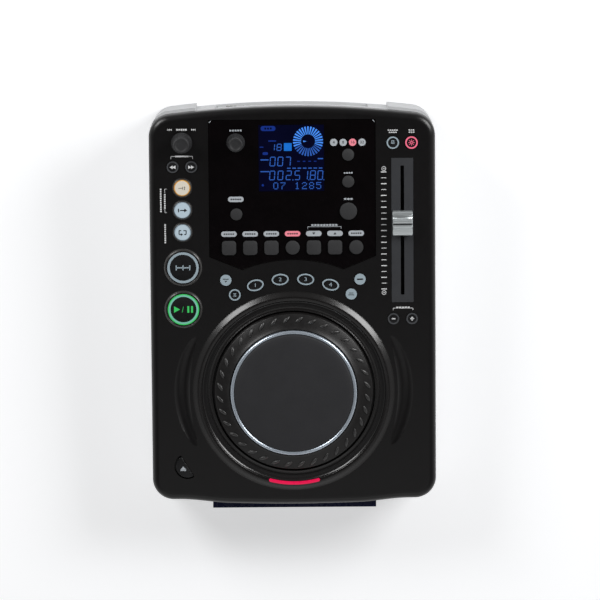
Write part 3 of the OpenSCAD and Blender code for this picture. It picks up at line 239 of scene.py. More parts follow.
def turned(points, angle, centre=(0, 0)):
    c, s = math.cos(angle), math.sin(angle)
    return [(centre[0] + x * c - y * s, centre[1] + x * s + y * c) for x, y in points]


def inward(points, distance):
    """A closed outline, anticlockwise, drawn in by a distance."""
    n = len(points)
    result = []
    for i in range(n):
        x0, y0 = points[i - 1]
        x1, y1 = points[(i + 1) % n]
        length = math.hypot(x1 - x0, y1 - y0)
        across, along = distance * (y1 - y0) / length, distance * (x1 - x0) / length
        result.append((points[i][0] - across, points[i][1] + along))
    return result


def row(outline, w):
    return [(x, y, w) for x, y in outline]


def placed(name, data):
    """A new object in the scene."""
    thing = bpy.data.objects.new(name, data)
    bpy.context.scene.collection.objects.link(thing)
    return thing


class Form:
    """A mesh in the making, in millimetres."""

    def __init__(self):
        self.bm = bmesh.new()

    def loft(self, rows, closed=False, place=TABLE):
        """Rows of as many points each, joined in turn. An open loft gets a face at either end."""
        rings = [[self.bm.verts.new(place @ Vector(p)) for p in points] for points in rows]
        pairs = list(zip(rings, rings[1:]))
        if closed:
            pairs.append((rings[-1], rings[0]))
        else:
            self.bm.faces.new(reversed(rings[0]))
            self.bm.faces.new(rings[-1])
        for a, b in pairs:
            for i in range(len(a)):
                self.bm.faces.new((a[i - 1], a[i], b[i], b[i - 1]))
        return self

    def lathe(self, profile, closed=False, n=96, centre=(0, 0), place=TABLE):
        return self.loft([row(circle(r, n, centre), w) for r, w in profile], closed, place)

    def prism(self, outline, w0, w1, place=TABLE):
        return self.loft([row(outline, w0), row(outline, w1)], place=place)

    def ring(self, centre, r0, r1, w0, w1, n=72):
        return self.lathe([(r0, w0), (r1, w0), (r1, w1), (r0, w1)], True, n, centre)

    def solid(self):
        bmesh.ops.recalc_face_normals(self.bm, faces=self.bm.faces)
        mesh = bpy.data.meshes.new("solid")
        self.bm.to_mesh(mesh)
        self.bm.free()
        return placed("solid", mesh)

    def carve(self, *cutters):
        """Cuts the other forms out of this one."""
        thing = self.solid()
        for cutter in cutters:
            tool = cutter.solid()
            cut = thing.modifiers.new("cut", "BOOLEAN")
            cut.object = tool
            cut.solver = "EXACT"
            cut.use_self = True
            graph = bpy.context.evaluated_depsgraph_get()
            mesh = bpy.data.meshes.new_from_object(thing.evaluated_get(graph))
            thing.modifiers.clear()
            thing.data = mesh
            bpy.data.objects.remove(tool)
        self.bm = bmesh.new()
        self.bm.from_mesh(thing.data)
        bpy.data.objects.remove(thing)
        return self


def piece(name, form, body, slot, material=None, place=DECK, replaces=(), sharp=35, weighted=False):
    """Finishes a form as a piece that rides on a body, with edges over a given angle sharp."""
    bm = form.bm
    bmesh.ops.recalc_face_normals(bm, faces=bm.faces)
    for face in bm.faces:
        face.smooth = True
    for edge in bm.edges:
        edge.smooth = len(edge.link_faces) == 2 and edge.calc_face_angle(0) < math.radians(sharp)
    bmesh.ops.scale(bm, vec=(MM, MM, MM), verts=bm.verts)
    mesh = bpy.data.meshes.new(name)
    bm.to_mesh(mesh)
    bm.free()
    mesh.materials.append(MATERIALS[material or slot])
    thing = placed(name, mesh)
    thing.matrix_world = place
    if weighted:
        shade = thing.modifiers.new("shade", "WEIGHTED_NORMAL")
        shade.keep_sharp = True
    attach(thing, body)
    if replaces:
        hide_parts(*replaces)
    return thing


# ---- Outlines of the cover and the panel ----

CORNER_REAR, CORNER_FRONT = 17.5, 16.5
BOW, BOW_IN = 5.1, 22
STEP, STEP_IN, STEP_SHARE = 2.4, 21, 0.44
BULGE = 1.75
FLAT_FRONT = FRONT + STEP + BULGE
FRONT_HALF = HALF_W - STEP_IN


def front_edge(u):
    """The front edge steps out near its ends and swells to the middle."""
    t = min(1, max(0, (FRONT_HALF - abs(u)) / (FRONT_HALF * STEP_SHARE)))
    return FLAT_FRONT - STEP * t * t * (3 - 2 * t) - BULGE * (1 - (u / FRONT_HALF) ** 2) ** 2


def cover_outline():
    """Anticlockwise from the front edge's right end. The rear edge is one wide bow."""
    bow_half = HALF_W - BOW_IN
    bow_r = (bow_half**2 + BOW**2) / (2 * BOW)
    bow_v = REAR - bow_r
    corner_u = HALF_W - CORNER_REAR
    corner_v = bow_v + math.sqrt((bow_r - CORNER_REAR) ** 2 - corner_u**2)
    end = math.degrees(math.atan2(corner_v - bow_v, corner_u))
    front_u = HALF_W - CORNER_FRONT
    front_v = FLAT_FRONT + CORNER_FRONT
    side = [(HALF_W, front_v + (corner_v - front_v) * i / 12) for i in range(1, 12)]
    front = [FRONT_HALF * (i / 48 - 1) for i in range(97)]
    return (
        arc((front_u, front_v), CORNER_FRONT, -90, 0, 24)
        + side
        + arc((corner_u, corner_v), CORNER_REAR, 0, end, 24)
        + arc((0, bow_v), bow_r, end, 180 - end, 60)[1:-1]
        + arc((-corner_u, corner_v), CORNER_REAR, 180 - end, 180, 24)
        + [(-u, v) for u, v in reversed(side)]
        + arc((-front_u, front_v), CORNER_FRONT, 180, 270, 24)
        + [(u, front_edge(u)) for u in front]
    )


OUTLINE = cover_outline()
PANEL_ARC, PANEL_HALF, PANEL_RISE = 102.8, 39, 10.4
PANEL_REAR = REAR - 9.8


def panel_outline(grow):
    """Its front edge follows the dish between two points, and slants up from them to the sides."""
    r = PANEL_ARC - grow
    half = math.degrees(math.asin(PANEL_HALF / r))
    low = AXIS[1] + r * math.cos(math.radians(half))
    side = PANEL_HIGH.x + grow
    rear = PANEL_REAR + grow
    edge = [(side, low + PANEL_RISE), (side, rear), (-side, rear), (-side, low + PANEL_RISE)]
    return edge + arc(AXIS, r, 90 + half, 90 - half, 64)


# ---- Plans of the keys ----

FLANGE = 1.2
FLANGE_TOP, FLANGE_LOW = -3.8, -5
GAP = 0.3
OVAL_TURN = -0.7
SQUARE_R = 2.7
OVAL = (13.6, 9.4)
EJECT_CENTRE = (-82.9, -125.25)
EJECT_R = 8.9
EJECT_TURN = math.radians(212)
EJECT_STEM = 0.42
EJECT_SOFT, EJECT_TRIM, EJECT_BOW = 0.9, 0.25, 84


class Key:
    """A key's plan, read from its CAD node."""

    def __init__(self, name, shape="round"):
        low, high = deck_box(name)
        self.name = name
        self.shape = shape
        self.top, self.foot = high.z, low.z
        self.centre, wide = plan(name)[:2]
        self.r = wide / 2 - FLANGE
        self.turn = 0
        self.stem = self.centre
        if shape == "oval":
            self.turn = OVAL_TURN * math.atan2(self.centre[0], self.centre[1] - AXIS[1])
        if shape == "half":
            self.centre, self.r, self.turn = EJECT_CENTRE, EJECT_R, EJECT_TURN
            reach = EJECT_STEM * self.r
            u, v = self.centre
            self.stem = (u + reach * math.cos(self.turn), v + reach * math.sin(self.turn))

    def outline(self, grow=0):
        if self.shape == "round":
            return circle(self.r + grow, 72, self.centre)
        if self.shape == "square":
            side = 2 * (self.r + grow)
            return rounded(side, side, SQUARE_R + grow, self.centre)
        if self.shape == "oval":
            points = [((OVAL[0] / 2 + grow) * x, (OVAL[1] / 2 + grow) * y) for x, y in circle(1, 72)]
            return turned(points, self.turn, self.centre)
        return half_round(self.r + grow, grow)


def half_round(r, back):
    """The eject key's plan: a half disc with soft corners, its straight edge set back a little."""
    corner = r - EJECT_SOFT - EJECT_TRIM
    low = arc((EJECT_SOFT - back, -corner), EJECT_SOFT, 180, 270, 5)
    bow = arc((0, 0), r, -EJECT_BOW, EJECT_BOW, 40)
    high = arc((EJECT_SOFT - back, corner), EJECT_SOFT, 90, 180, 5)
    return turned(low + bow + high, EJECT_TURN, EJECT_CENTRE)


SQUARE = ["effect_1", "effect_2", "effect_3", "param_down", "param_up"]
BANKS = ["bank_1", "bank_2", "bank_3", "bank_4"]
ROUND = """
    search_back search_forward loop_in loop_out reloop cue play scratch effect_4 hold range time tap
    tempo_lock pitch_on bend_minus bend_plus bank_select memory time_mode play_mode
""".split()
KEYS = {n: Key(n) for n in ROUND}
KEYS.update({n: Key(n, "square") for n in SQUARE})
KEYS.update({n: Key(n, "oval") for n in BANKS})
KEYS["eject"] = Key("eject", "half")
PANEL_KEYS = SQUARE + ["scratch", "effect_4", "hold", "range", "time", "tap"]
KNOBS = ["track_knob", "folder_knob"]
KNOB_SHAFT = 3
KNOB_HOLE = KNOB_SHAFT + 0.5

# ---- The cover and the panel ----

COVER_CUT, PANEL_CUT, CUT_TOP = -12, -4, 3
RECESS_TOP = 2
GLASS_HOLE = (50.3, 51.5, 0.3)
PLATE_R, PLATE_GAP, PLATE_SINK = 0.4, 0.3, -1.4
FADER_HOLE = (4.35, 102.3, 0.6)
EJECT_MARGIN = 1.2
TRAY = [(67.5, -9), (70, -8.6), (70, -3.4), (67.5, -3.4)]
TRAY_R, TRAY_FLOOR = 66.5, -6
PANEL_FOOT, PANEL_GAP = -2, 0.15


def cut_knob(holes, name, low):
    at = middle(name)
    holes.lathe([(KNOB_HOLE, low), (KNOB_HOLE, CUT_TOP)], False, 32, (at.x, at.y))


def make_cover():
    """The rolled shell, with the jog wheel's tray under it and its recesses, holes and scoops cut out."""
    roll = [math.radians(a) for a in range(0, 91, 9)]
    rim = [(ROLL_WIDE * (1 - math.cos(a)), -ROLL_DEEP * (1 - math.sin(a))) for a in roll]
    profile = [(WALL, -COVER_T), (WALL, -SKIRT), (EDGE, -SKIRT), (0, -SKIRT + EDGE)] + rim
    cover = Form().loft([row(inward(OUTLINE, d), w) for d, w in profile])
    cover.lathe(TRAY, False, 96, AXIS)
    recess = Form().prism(panel_outline(PANEL_GAP), PANEL_FOOT, RECESS_TOP)
    recess.lathe([(TRAY_R, TRAY_FLOOR), (TRAY_R, 5)], False, 144, AXIS)
    plate = rounded(PLATE_WIDE + PLATE_GAP, PLATE_LONG + PLATE_GAP, PLATE_R, FADER)
    recess.prism(plate, PLATE_SINK, RECESS_TOP)
    holes = Form()
    for key in KEYS.values():
        holes.prism(key.outline(GAP), COVER_CUT, CUT_TOP)
    holes.prism(half_round(EJECT_R + EJECT_MARGIN, GAP), COVER_CUT, CUT_TOP)
    for name in KNOBS:
        cut_knob(holes, name, COVER_CUT)
    holes.prism(rounded(*GLASS_HOLE, GLASS), COVER_CUT, CUT_TOP)
    holes.prism(rounded(*FADER_HOLE, FADER), COVER_CUT, CUT_TOP)
    cover.carve(recess, holes, scoop(1), scoop(-1))
    piece("case_cover", cover, "player", "cover_black", replaces=["top_cover"], sharp=28, weighted=True)


def scoop(side):
    """A tilted tube that dips into the deck beside the jog wheel, so that it cuts a crescent."""
    tube, reach, lean, dip = 9.3, 86.5, math.radians(11), 1.8
    rise = reach * math.sin(lean) + tube - dip
    place = Matrix.Translation((*AXIS, rise)) @ Matrix.Rotation(side * lean, 4, "Y")
    ring_r = reach / math.cos(lean)
    section = [(ring_r + x, y) for x, y in circle(tube, 96)]
    return Form().lathe(section, True, 240, (0, 0), place)


def make_panel():
    edge = 0.35
    rows = [(0, PANEL_FOOT), (0, PANEL_W - edge), (edge * 0.3, PANEL_W - edge * 0.3), (edge, PANEL_W)]
    panel = Form().loft([row(inward(panel_outline(0), d), w) for d, w in rows])
    holes = Form()
    for name in PANEL_KEYS:
        holes.prism(KEYS[name].outline(GAP), PANEL_CUT, CUT_TOP)
    cut_knob(holes, "folder_knob", PANEL_CUT)
    holes.prism(rounded(*GLASS_HOLE, GLASS), PANEL_CUT, CUT_TOP)
    panel.carve(holes)
    piece("glossy_panel", panel, "player", "panel_gloss", replaces=["fascia_panel"], weighted=True)


make_cover()
make_panel()

# ---- The jog dish, its light, the wheel, the ring and the pad ----

GROOVE, WELL = 62.8, 66.3
LIP_R = 78.3
LIGHT_HALF, LIGHT_ROOM = 15.8, 1.012
WHEEL_SLOPE = math.radians(20.5)
SLOPE_R, SLOPE_W = 56, 5


def round_axis(section, degrees):
    """A section of radii and heights, placed round the jog's axis at an angle."""
    a = math.radians(degrees)
    return [(r * math.cos(a), AXIS[1] + r * math.sin(a), w) for r, w in section]


def make_dish():
    """The lip round the wheel: a rounded inner edge, a band, a bead, a step, a crest and a broad flank."""
    lip = [
        (GROOVE, -6), (GROOVE, -0.5), (62.95, -0.15), (63.2, 0.02), (63.5, -0.06), (64.1, -0.42),
        (64.5, -0.52), (65.6, -0.48), (66.6, -0.3), (67.3, -0.04), (67.6, 0.04), (67.8, 0.02), (67.9, -0.03),
        (68.45, -0.38), (68.55, -0.42), (68.75, -0.42), (68.95, -0.32), (69.2, -0.16), (69.45, -0.07),
        (69.9, 0.08), (70.2, 0.24), (70.3, 0.3), (70.8, 0.63), (71.05, 0.85), (71.15, 2), (71.4, 2.2),
        (71.9, 2.3), (72.6, 2.38), (73.3, 2.42), (73.8, 2.4), (74.3, 2.24), (74.8, 1.98), (75.6, 1.5),
        (76.5, 0.96), (77.3, 0.5), (77.9, 0.18), (LIP_R, 0.02), (LIP_R, -0.4), (WELL, -0.4), (WELL, -6),
    ]
    dish = Form().lathe(lip, True, 288, AXIS)
    trough = [(71.1, 0.8), (73.8, 0.8), (73.8, 4.5), (71.1, 4.5)]
    angles = [270 + LIGHT_HALF * LIGHT_ROOM * t / 30 for t in range(-30, 31)]
    dish.carve(Form().loft([round_axis(trough, a) for a in angles]))
    piece("jog_dish", dish, "player", "cover_black", "lip_black", replaces=["jog_bezel"], sharp=50)


def make_light():
    """A lit bar round the front of the lip, with rounded ends and a crowned top."""
    inner, outer, low, high = 71.3, 73.6, 0.9, 2.95
    mid, round_end, least = (inner + outer) / 2, 0.05, 0.02
    rows = []
    for i in range(-40, 41):
        t = abs(i) / 40
        share = math.sqrt(max(least, 1 - max(0, (t - (1 - round_end)) / round_end) ** 2))
        half = (outer - inner) / 2 * share
        crown = [(mid + half * 0.7, high - 0.05), (mid, high), (mid - half * 0.7, high - 0.05)]
        foot = [(mid - half, low), (mid + half, low)]
        section = foot + [(mid + half, high - 0.25)] + crown + [(mid - half, high - 0.25)]
        rows.append(round_axis(section, 270 + LIGHT_HALF * i / 40))
    piece("front_light", Form().loft(rows), "player", "led_red", replaces=["led_strip"])


def make_wheel():
    """The wheel on its hollow shaft. Its slope runs from the ring out to a rounded rim."""
    wheel = Form().lathe([
        (5, 2.5), (5, -5.7), (4, -5.7), (4, -20.3), (3.5, -20.8), (2, -20.8), (2, 5), (48.8, 5), (48.8, 6),
        (49.3, 6.1), (49.4, 6.9), (49.5, 7.4), (49.7, 7.62), (49.85, 7.58), (49.95, 7.53), (50.9, 6.96),
        (51.2, 6.8), (52.2, 6.35), (54, 5.66), (SLOPE_R, SLOPE_W), (60.5, 3.32), (60.75, 3.2), (60.9, 3.05),
        (61.1, 2.7), (61.4, 1.9), (61.65, 1.2), (61.8, 0.4), (61.8, -4.5), (59.8, -4.5), (59.8, 0), (47, 2.5),
    ], True, 216, AXIS)
    piece("jog_dial", wheel, "jog", "jog_black", replaces=["jog_wheel"], sharp=50)


def make_studs():
    """Leaning lens-shaped studs round the wheel's slope."""
    count, r, first, lean = 36, 57.1, 0.53, math.radians(-51)
    half_long, half_wide = 3.8, 1.4
    around = [2 * math.pi * (i + 0.5) / 32 for i in range(32)]
    lens = [(half_long * math.cos(a), half_wide * math.sin(a) * abs(math.sin(a)) ** 0.25) for a in around]
    rows = [(1, -0.4), (1, 0.1), (0.95, 0.4), (0.82, 0.72), (0.6, 0.98), (0.32, 1.14), (0.05, 1.2)]
    outlines = [[(x * k, y * k, w) for x, y in lens] for k, w in rows]
    at_axis = Matrix.Translation((*AXIS, 0))
    seat = Matrix.Translation((r, 0, SLOPE_W - (r - SLOPE_R) * math.tan(WHEEL_SLOPE)))
    tilt = Matrix.Rotation(WHEEL_SLOPE, 4, "Y") @ Matrix.Rotation(lean, 4, "Z")
    studs = Form()
    for i in range(count):
        spin = Matrix.Rotation(2 * math.pi * (i + first) / count, 4, "Z")
        studs.loft(outlines, place=at_axis @ spin @ seat @ tilt)
    piece("jog_studs", studs, "jog", "jog_black", "stud_black", sharp=80)


def make_ring_and_pad():
    """The silver ring, made round its own axis, and the domed pad inside it."""
    ring = [
        (46.15, 5), (48.75, 5), (48.75, 9.2), (48.6, 9.5), (48.3, 9.72), (47.9, 9.97), (47.6, 10.08),
        (47.3, 10.08), (47, 9.97), (46.6, 9.72), (46.3, 9.5), (46.15, 9.2),
    ]
    at_axis = Matrix.Translation((0, AXIS[1] * MM, 0))
    piece("jog_ring", Form().lathe(ring, True, 216), "jog", "ring_silver", place=DECK @ at_axis,
          replaces=["jog_trim_ring"], sharp=50)
    pad = [
        (46, 5), (46.05, 9.1), (45.9, 9.7), (45.5, 10.1), (44.6, 10.4), (41, 10.75), (34, 11.1),
        (24, 11.32), (12, 11.46), (0.5, 11.5),
    ]
    piece("jog_touch_pad", Form().lathe(pad, False, 216, AXIS), "jog", "pad_grey", replaces=["jog_pad"])


make_dish()
make_light()
make_wheel()
make_studs()
make_ring_and_pad()

# ---- Knobs ----

FLUTES, FLUTE_STEPS, FLUTE_DEEP = 18, 8, 0.42


def make_knob(node, name, foot_r, top_r, height, foot):
    """A knob on its shaft, with a foot ring, a fluted side and a dished top."""
    at = middle(node)
    n = FLUTES * FLUTE_STEPS
    rows = []
    for r, w, flute in [
        (KNOB_SHAFT, -14, 0), (KNOB_SHAFT, foot, 0), (foot_r - 0.3, foot, 0), (foot_r, foot + 0.3, 0),
        (foot_r, foot + 1.1, 0), (foot_r - 0.8, foot + 1.9, 0.2), (foot_r - 1, foot + 2.6, 0.9),
        (top_r + 0.55, height - 2.2, 0.9), (top_r + 0.3, height - 1.1, 0.5), (top_r, height - 0.45, 0.1),
        (top_r - 0.45, height - 0.08, 0), (top_r - 0.9, height, 0), (top_r - 1.35, height - 0.15, 0),
        (top_r - 1.9, height - 0.55, 0), (top_r - 2.8, height - 0.68, 0), (0.4, height - 0.6, 0),
    ]:
        points = []
        for i in range(n):
            a = 2 * math.pi * i / n
            dip = FLUTE_DEEP * flute * (0.5 + 0.5 * math.cos(2 * math.pi * i / FLUTE_STEPS)) ** 1.5
            points.append((at.x + (r - dip) * math.cos(a), at.y + (r - dip) * math.sin(a), w))
        rows.append(points)
    piece(name, Form().loft(rows), node, "knob_black", replaces=[node], sharp=60)


make_knob("track_knob", "track_dial", 8.1, 6, 15, 0.3)
make_knob("folder_knob", "folder_dial", 7.1, 5.4, 14, -0.2)

# ---- Fader ----

SLOT_WIDE, SLOT_LONG = 2.75, 100.7


def make_fader():
    low, high = deck_box("fader_plate")
    rows = [(0, low.z), (0, high.z - 0.15), (0.15, high.z)]
    outlines = [row(rounded(PLATE_WIDE - 2 * d, PLATE_LONG - 2 * d, PLATE_R, FADER), w) for d, w in rows]
    plate = Form().loft(outlines)
    plate.carve(Form().prism(rounded(SLOT_WIDE, SLOT_LONG, 0.7, FADER), -4, RECESS_TOP))
    piece("fader_face", plate, "player", "fader_grey", replaces=["fader_plate"])


def make_cap():
    """A finger saddle on either side of a ridge, and a dark line across the ridge."""
    low, high = deck_box("fader_cap")
    (u, v), across, along = plan("fader_cap")
    half, wide, top, foot = along / 2, across - 0.3, high.z, 0.3
    rear = [
        (half, foot), (half, 5.6), (half - 0.15, 6.3), (half - 0.6, 6.75), (half - 1.2, 7.05),
        (half - 2.2, 7.45), (half - 2.9, 7.6), (half - 4, 7.68), (half - 5, 7.85), (half - 5.5, 8.3),
        (3.5, 9.6), (3.2, 9.95), (2.7, 10.2), (1.9, 10.55), (1.1, top - 0.1), (0.85, top),
        (0.62, top - 0.05), (0.55, top - 0.9),
    ]
    front = [
        (-0.55, top - 0.9), (-0.62, top - 0.05), (-0.9, top), (-1.6, 10.7), (-2.6, 10.2), (-3.3, 9.7),
        (-3.8, 9), (-4.4, 8.5), (-5.2, 8.3), (-6.6, 7.95), (-7.8, 7.4), (1 - half, 6.8),
        (0.4 - half, 6.4), (-half, 5.7), (-half, foot),
    ]
    edge, mid = 0.3, (top + foot) / 2
    rows = []
    for x, shrink in ((-wide / 2, edge), (-wide / 2 + edge, 0), (wide / 2 - edge, 0), (wide / 2, edge)):
        long, tall = 1 - shrink / half, 1 - 2 * shrink / top
        rows.append([(u + x, v + y * long, mid + (z - mid) * tall) for y, z in rear + front])
    cap = Form().loft(rows)
    cap.loft([row(rounded(1.2, 2, 0.1, (u, v)), w) for w in (low.z, foot + 1)])
    piece("fader_grip", cap, "fader_cap", "cap_silver", replaces=["fader_cap"], sharp=30)
    line = Form().prism(rounded(wide - 0.4, 1.08, 0.1, (u, v)), top - 1, top - 0.7)
    piece("fader_grip_line", line, "fader_cap", "cap_silver", "print_dark")


make_fader()
make_cap()

# ---- Bezels and keys ----

BEZELS = {"cue": 14.85, "play": 14.85, "loop_in": 7.85, "loop_out": 7.85, "reloop": 7.85}
BEZEL_HIGH = 1.4
KEY_EDGE, STEM_R = 0.6, 2


def make_bezels():
    """Raised rims round the large keys. The section holds shares of a rim's width and height."""
    section = [
        (0, 0), (0, 0.7), (0.05, 0.9), (0.14, 1), (0.26, 0.98), (0.4, 0.88), (0.6, 0.66), (0.8, 0.4),
        (0.93, 0.2), (1, 0.04), (1, 0),
    ]
    bezels = Form()
    for name, outer in BEZELS.items():
        key = KEYS[name]
        inner = key.r + GAP
        profile = [(inner + (outer - inner) * s, BEZEL_HIGH * h) for s, h in section]
        bezels.lathe(profile, True, 96, key.centre)
    piece("key_bezels", bezels, "player", "bezel_black", replaces=["button_bezels"], sharp=50)


def make_key(key, slot, material, crown):
    """A key's cap with its flange and stem. A crown above 0 domes the top, and below 0 dishes it."""
    edge_w = key.top - max(0, crown)
    rows = [
        (FLANGE, FLANGE_LOW), (FLANGE, FLANGE_TOP), (0, FLANGE_TOP), (0, edge_w - 0.45),
        (-0.1, edge_w - 0.18), (-0.3, edge_w - 0.04), (-KEY_EDGE, edge_w),
    ]
    if key.shape != "half":
        for share in (0.25, 0.5, 0.75):
            rows.append((-KEY_EDGE - share * (key.r * 0.8), edge_w + crown * (1 - (1 - share) ** 2)))
    cap = Form().loft([row(key.outline(grow), w) for grow, w in rows])
    cap.lathe([(STEM_R, key.foot), (STEM_R, FLANGE_LOW + 0.2)], False, 32, key.stem)
    piece(key.name + "_cap", cap, key.name, slot, material, replaces=[key.name], sharp=40)


# Slot, material where it isn't the slot's own, crown and the keys that have them.
STYLES = [
    ("key_dark", None, -0.25, ("search_back", "search_forward")),
    ("key_dark", None, -0.3, ("cue", "play")),
    ("key_dark", None, 0, ("eject",)),
    ("key_dark", None, 0.1, ("tempo_lock", "bend_minus", "bend_plus")),
    ("key_red", "key_dark", 0.1, ("pitch_on",)),
    ("key_amber", None, 0.15, ("loop_in",)),
    ("key_pale", "key_lit", 0.15, ("loop_out", "reloop")),
    ("key_pale", "key_dark", 0.1, ("bank_select", "time_mode", "play_mode", "memory", *BANKS)),
    ("key_rubber", None, 0.5, ("range", "time")),
    ("key_rubber", None, 0.4, ("tap",)),
]
STYLE_OF = {name: style[:3] for style in STYLES for name in style[3]}
for name, key in KEYS.items():
    make_key(key, *STYLE_OF.get(name, ("key_rubber", None, 0.45)))
make_bezels()

# ---- Rings and glyphs on the keys ----

MARK, MARK_DEEP = 0.05, 0.3
FACE = 0.01
DISC = 0.01
DIGIT_LIFT = 0.03


def triangle(u, v, reach, half, turn=0):
    """A triangle that points along +u before its turn."""
    return turned([(-reach / 2, -half), (reach / 2, 0), (-reach / 2, half)], turn, (u, v))


def bar(u, v, wide, long, turn=0):
    return turned(rounded(wide, long, min(wide, long) * 0.2, (0, 0), 3), turn, (u, v))


def plates(outlines, rings, low, high, n=72):
    """Thin plates, and rings of a centre and two radii, between two heights."""
    form = Form()
    for outline in outlines:
        form.prism(outline, low, high)
    for centre, r0, r1 in rings:
        form.ring(centre, r0, r1, low, high, n)
    return form


def key_mark(key, name, outlines, slot, material, rings=()):
    """Marks on a key's top. A ring whose inner radius is DISC reads as a disc."""
    w = key.top + FACE
    form = plates(outlines, [(key.centre, *pair) for pair in rings], w - MARK_DEEP, w + MARK)
    piece(name, form, key.name, slot, material)


def glyph(name, outlines, material, slot="key_pale", rings=()):
    """A key's sign, drawn round the key's middle."""
    key = KEYS[name]
    u, v = key.centre
    shifted = [[(u + x, v + y) for x, y in outline] for outline in outlines]
    key_mark(key, name + "_mark", shifted, slot, material, rings)


def bars(*sizes):
    return [bar(*size) for size in sizes]


for name, way in (("search_back", math.pi), ("search_forward", 0)):
    step = 1.1 * math.cos(way)
    pair = [triangle(side * step, -0.15, 2.4, 1.45, way) for side in (-1, 1)]
    glyph(name, pair, "print_white")
    # The grey ring is a painted sheen for the key's glossy rim.
    key_mark(KEYS[name], name + "_edge", [], "key_dark", "key_sheen_grey", [(3.5, 4.5)])

glyph("cue", bars((0, 0, 10.6, 0.9), (-5.2, 0, 0.9, 3.9), (5.2, 0, 0.9, 3.9), (0, 0, 0.9, 3.9)), "key_pale",
      rings=[(10.2, 12.1)])
pause = bars((-0.5, 0.1, 0.35, 4.6, -0.22), (3.7, 0.1, 1.5, 5.2), (6.6, 0.1, 1.5, 5.2))
glyph("play", [triangle(-5, 0.1, 4.6, 2.5)] + pause, "lit_green", rings=[(11.3, 12.1)])
key_mark(KEYS["play"], "play_halo", [], "key_pale", "lit_mint", [(10, 11.3)])
glyph("loop_in", [], "key_cream", "key_amber", rings=[(DISC, 5.5)])
loop_u, loop_v = KEYS["loop_in"].centre
arrow = ((1.9, -0.2, 0.8, 2.6), (-1.2, -0.2, 3.4, 0.7), (0.4, 0.35, 0.7, 1.3), (0.4, -0.75, 0.7, 1.3))
loop_sign = [bar(loop_u + x, loop_v + y, wide, long) for x, y, wide, long in arrow]
key_mark(KEYS["loop_in"], "loop_in_sign", loop_sign, "key_amber", "print_dark")
tail = bars((-2.9, -0.1, 0.8, 2.8), (0.1, -0.1, 3.8, 0.8))
glyph("loop_out", tail + [triangle(2.6, -0.1, 2.2, 1.5)], "print_dark")
circuit = bars((-2.7, 0.1, 0.7, 3), (2.7, 0.1, 0.7, 3), (-2, 1.5, 1.8, 0.7), (1.6, 1.5, 2, 0.7),
               (-1.9, -1.5, 1.6, 0.7), (2, -1.5, 1.6, 0.7))
glyph("reloop", circuit + [triangle(-0.5, -1.5, 1.6, 1.1)], "print_dark")
# The grey rings on the bend keys are a painted sheen for their glossy rims.
for name in ("bend_minus", "bend_plus"):
    key_mark(KEYS[name], name + "_edge", [], "key_dark", "key_sheen_grey", [(3.3, 4.4)])
glyph("bend_minus", [bar(0, 0, 2.8, 0.9)], "print_white")
glyph("bend_plus", bars((0, 0, 3, 0.9), (0, 0, 0.9, 3)), "print_white")
padlock = bars((0, -0.6, 2.6, 0.45), (0, 0.4, 2.6, 0.45), (-1.1, -0.1, 0.45, 1.4), (1.1, -0.1, 0.45, 1.4),
               (-0.8, 1, 0.45, 1.2), (0.8, 1, 0.45, 1.2), (0, 1.6, 2, 0.45))
glyph("tempo_lock", padlock, "key_pale", rings=[(3.7, 4.75)])
spokes = [bar(1.7 * math.cos(a), 1.7 * math.sin(a), 1.5, 0.4, a) for a in [math.pi * i / 4 for i in range(8)]]
glyph("pitch_on", spokes, "ring_red", "key_red", rings=[(3.7, 4.8), (0.5, 0.9)])
glyph("memory", bars((0, 0, 2.2, 0.5), (0, 1, 2.2, 0.5), (0, -1, 2.2, 0.5)), "key_pale", rings=[(3.45, 4.5)])
SMALL_SIGNS = {
    "bank_select": [bar(0, 0.8, 4.6, 0.6), triangle(0, -1.2, 1.4, 1, -math.pi / 2)],
    "time_mode": [bar(0, 0, 4.8, 1.2)],
    "play_mode": bars((0, 0.8, 3.4, 0.6), (0, -0.6, 4.4, 0.6)),
}
for name in SMALL_SIGNS:
    glyph(name, [], "key_pale", rings=[(DISC, 4.3)])
for name, signs in SMALL_SIGNS.items():
    u, v = KEYS[name].centre
    face = KEYS[name].top + FACE
    form = plates([[(u + x, v + y) for x, y in sign] for sign in signs], [], face, face + MARK + DIGIT_LIFT)
    piece(name + "_sign", form, name, "key_pale", "print_dark")
glyph("eject", [triangle(-3.3, -1.25, 2.8, 2.3, math.pi / 2), bar(-3.3, -3.2, 4.5, 0.7)], "pale_print_and_glint")


def number(text, name, body, material, centre, w, size, stretch):
    """A plain number, laid flat at a height w."""
    curve = bpy.data.curves.new(name, "FONT")
    curve.body = text
    curve.size = size * MM
    curve.align_x = "CENTER"
    curve.align_y = "CENTER"
    curve.extrude = 0.05 * MM
    writing = placed(name, curve)
    graph = bpy.context.evaluated_depsgraph_get()
    mesh = bpy.data.meshes.new_from_object(writing.evaluated_get(graph))
    bpy.data.objects.remove(writing)
    mesh.materials.clear()
    mesh.materials.append(MATERIALS[material])
    thing = placed(name, mesh)
    at = Matrix.Translation(Vector((*centre, w)) * MM)
    thing.matrix_world = DECK @ at @ Matrix.Diagonal((stretch, 1, 1, 1))
    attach(thing, body)


for i, bank in enumerate(BANKS):
    key = KEYS[bank]
    low, high = key.top + FACE - MARK_DEEP, key.top + FACE + MARK
    section = ((-0.25, low), (-0.25, high), (-1.35, high), (-1.35, low))
    edge = Form().loft([row(key.outline(grow), w) for grow, w in section], closed=True)
    piece(bank + "_ring", edge, bank, "key_pale")
    level = key.top + DIGIT_LIFT
    number(str(i + 1), bank + "_number", bank, "key_pale", key.centre, level, 4.2, 1.3)

# ---- Printed marks on the cover and the panel, with painted glints at the panel's rear corners ----

PRINT_DEEP, PRINT_RISE = 0.1, 0.03


